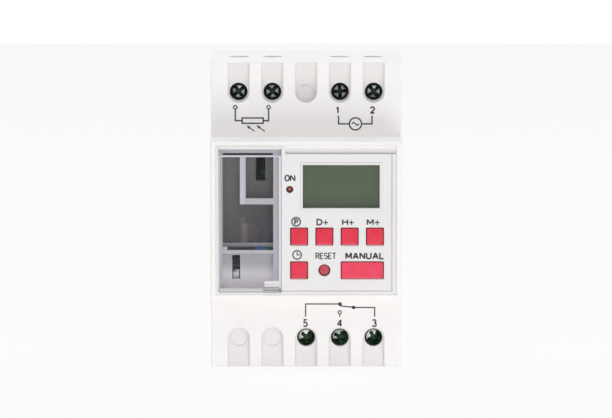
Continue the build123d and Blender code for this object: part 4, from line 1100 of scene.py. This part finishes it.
def make_door_edges(materials):
    """Painted highlights as whitish strips on the door's edges and on the rim of the small frame behind the
    door, and painted light on the door's lower edge over the shade in its recess.
    """
    front = (-60.0, -59.94)
    left, right = DOOR_LEFT + 0.02, DOOR_RIGHT - 0.03
    upright = (-19.2, 17.88)
    bright = [((-7.62, right), front, upright), ((left, -24.3), front, upright)]
    bright += [((left, right), front, (17.92, 18.16))]
    plates("door_edge_highlight", bright, materials["bevel"], "door", 0.01)
    # painted light over the shade at the door's lower edge
    lower = ((left, -12.0), front, (-20.17, -19.22))
    plates("door_lower_painted_light", [lower], materials["door_low_painted_light"], "door", 0.01)
    # painted highlight on the rim of the small frame behind the door
    rim = ((-18.6, -17.35), (-58.71, -58.63), (4.42, 17.6))
    plates("frame_painted_highlight", [rim], materials["rim"], "housing", 0.02)


def make_resistor(materials):
    """A light resistor behind the edge of the control board, with one lead bent down behind it."""
    x, y, low, high = -17.5, -46.6, -7.9, -2.45
    steps = 32
    half = [(0, 0.3), (0, 0.75), (0.2, 0.96), (0.9, 1.0), (1.3, 0.84)]
    profile = [(low + rise, radius) for rise, radius in half]
    profile += [(high - rise, radius) for rise, radius in reversed(half)]
    rows = []
    for z, radius in profile:
        turns = [math.tau * k / steps for k in range(steps)]
        row = [((x + radius * math.cos(t)) * MM, (y + radius * math.sin(t)) * MM, z * MM) for t in turns]
        rows.append(row)
    mesh = grid_mesh("standing_resistor", rows)
    new_object("standing_resistor", mesh, materials["tan"], "housing")
    wide, lead, back = (x - 0.25, x + 0.25), (y - 0.25, y + 0.25), (y + 1.3, y + 1.75)
    leads = [
        (wide, lead, (-9.7, low + 0.1)),
        (wide, lead, (high - 0.1, high + 0.5)),
        (wide, (y - 0.25, y + 1.75), (high + 0.3, high + 0.7)),
        (wide, back, (-10.3, high + 0.5)),
        (wide, (y - 2.4, y + 0.1), (-9.7, -9.25)),
        (wide, (y - 2.4, y + 1.5), (-10.5, -10.05)),
    ]
    plates("resistor_leads", leads, materials["steel"], "housing", 0.08)


def make_ribbon(materials):
    """Flat cable with its separate cores."""
    low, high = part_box("ribbon_cable")
    pitch = (high.x - low.x) / CABLE_CORES
    thick = CABLE_HALF * MM
    start_z = CABLE_Z * MM
    bow = high.z - start_z - thick
    profile = []
    for i in range(CABLE_CORES):
        for k in range(7):
            turn = math.pi * k / 6
            across = low.x + pitch * (i + 0.5 - 0.46 * math.cos(turn))
            profile.append((across, thick * (0.25 + 0.75 * math.sin(turn))))
    profile += [(x, -z) for x, z in reversed(profile)]
    rows = []
    for i in range(41):
        share = i / 40
        rise = bow * math.sin(math.pi * share)
        y = low.y + (high.y - low.y) * share
        rows.append([(x, y, start_z + rise + z) for x, z in profile])
    mesh = grid_mesh("flat_cable", rows)
    cable = new_object("flat_cable", mesh, materials["ribbon"], "housing")
    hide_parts("ribbon_cable")


# The rays that see the floor and the surround as plain white
SEEN = ("Is Camera Ray", "Is Glossy Ray", "Is Transmission Ray")


def make_floor():
    """A plain pale floor that keeps the shadow of the object."""
    mesh = bmesh.new()
    bmesh.ops.create_circle(mesh, cap_ends=True, radius=FLOOR_RADIUS, segments=96)
    data = to_data("floor", mesh)
    floor = bpy.data.objects.new("floor", data)
    bpy.context.scene.collection.objects.link(floor)
    floor.location = (0, 0, FLOOR_Z)
    nodes = Nodes("floor_white")
    nodes.set(Base_Color=(0.9, 0.9, 0.9, 1.0), Roughness=0.9)
    glow = nodes.add("ShaderNodeEmission")
    share = nodes.add("ShaderNodeMath", operation="MULTIPLY")
    share.inputs[1].default_value = FLOOR_GLOW
    nodes.link(ray_share(nodes.tree, SEEN), share.inputs[0])
    mix_surface(nodes.tree, share.outputs[0], nodes.shader, glow, nodes.output)
    data.materials.append(nodes.material)
    floor.visible_shadow = False


def make_world():
    """A white surround that lights the part at a plain level."""
    world = bpy.data.worlds.new("studio")
    bpy.context.scene.world = world
    world.use_nodes = True
    tree = world.node_tree
    base = tree.nodes["Background"]
    base.inputs["Color"].default_value = (1, 1, 1, 1)
    base.inputs["Strength"].default_value = AMBIENT
    seen = tree.nodes.new("ShaderNodeBackground")
    seen.inputs["Color"].default_value = (1, 1, 1, 1)
    seen.inputs["Strength"].default_value = 1.0
    mix_surface(tree, ray_share(tree, SEEN), base, seen, tree.nodes["World Output"])


def softbox(name, place, aim, size, power):
    """One soft lamp."""
    light = bpy.data.lights.new(name, "AREA")
    light.shape = "RECTANGLE"
    light.size, light.size_y = size
    light.energy = power
    lamp = bpy.data.objects.new(name, light)
    bpy.context.scene.collection.objects.link(lamp)
    lamp.location = place
    lamp.rotation_euler = (Vector(aim) - Vector(place)).to_track_quat("-Z", "Y").to_euler()


def make_lights():
    """Soft lamps: the main one low in front, others above, at the sides and behind."""
    softbox("front_low", (0.3, -1.15, -0.75), (0, -0.04, 0), (1.3, 0.8), 7.6)
    softbox("front_high", (0.5, -1.25, 0.75), (0, -0.04, 0), (1.0, 0.7), 2.0)
    softbox("above", (0, -0.25, 1.3), (0, 0, 0), (1.4, 1.0), 6.9)
    softbox("left", (-1.25, 0.65, 0.3), (0, 0, 0), (0.9, 0.9), 4.6)
    softbox("right", (1.25, 0.65, 0.3), (0, 0, 0), (0.9, 0.9), 4.6)
    softbox("behind", (0, 1.2, 0.9), (0, 0, 0), (1.4, 0.9), 1.0)
    softbox("highlight", (-0.55, -1.0, 0.7), (0, 0, 0), (0.12, 0.12), 1.0)


def make_camera():
    """The camera at the photograph's angle."""
    data = bpy.data.cameras.new("camera")
    data.lens = LENS
    data.sensor_width = SENSOR
    data.clip_start = 0.05
    data.clip_end = 60
    camera = bpy.data.objects.new("camera", data)
    bpy.context.scene.collection.objects.link(camera)
    back = Vector((0, -math.cos(ELEVATION), math.sin(ELEVATION)))
    camera.location = AIM + back * DISTANCE
    camera.rotation_euler = (-back).to_track_quat("-Z", "Y").to_euler()
    bpy.context.scene.camera = camera


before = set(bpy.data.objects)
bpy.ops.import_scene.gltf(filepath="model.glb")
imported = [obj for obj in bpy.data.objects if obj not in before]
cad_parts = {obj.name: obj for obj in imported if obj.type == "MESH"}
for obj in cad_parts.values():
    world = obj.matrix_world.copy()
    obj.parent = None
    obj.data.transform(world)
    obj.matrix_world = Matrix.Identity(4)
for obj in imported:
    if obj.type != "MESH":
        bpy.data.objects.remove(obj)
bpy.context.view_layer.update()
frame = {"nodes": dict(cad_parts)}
bpy.context.scene.view_settings.view_transform = "Standard"
materials = make_materials()
dress_nodes(frame["nodes"], materials)
dress_details(frame["nodes"], materials)
make_prints(materials)
make_spring(materials)
make_screws(materials)
make_buttons(materials)
make_seam(materials)
make_bay(materials)
make_door_edges(materials)
make_resistor(materials)
make_ribbon(materials)
make_floor()
make_world()
make_lights()
make_camera()
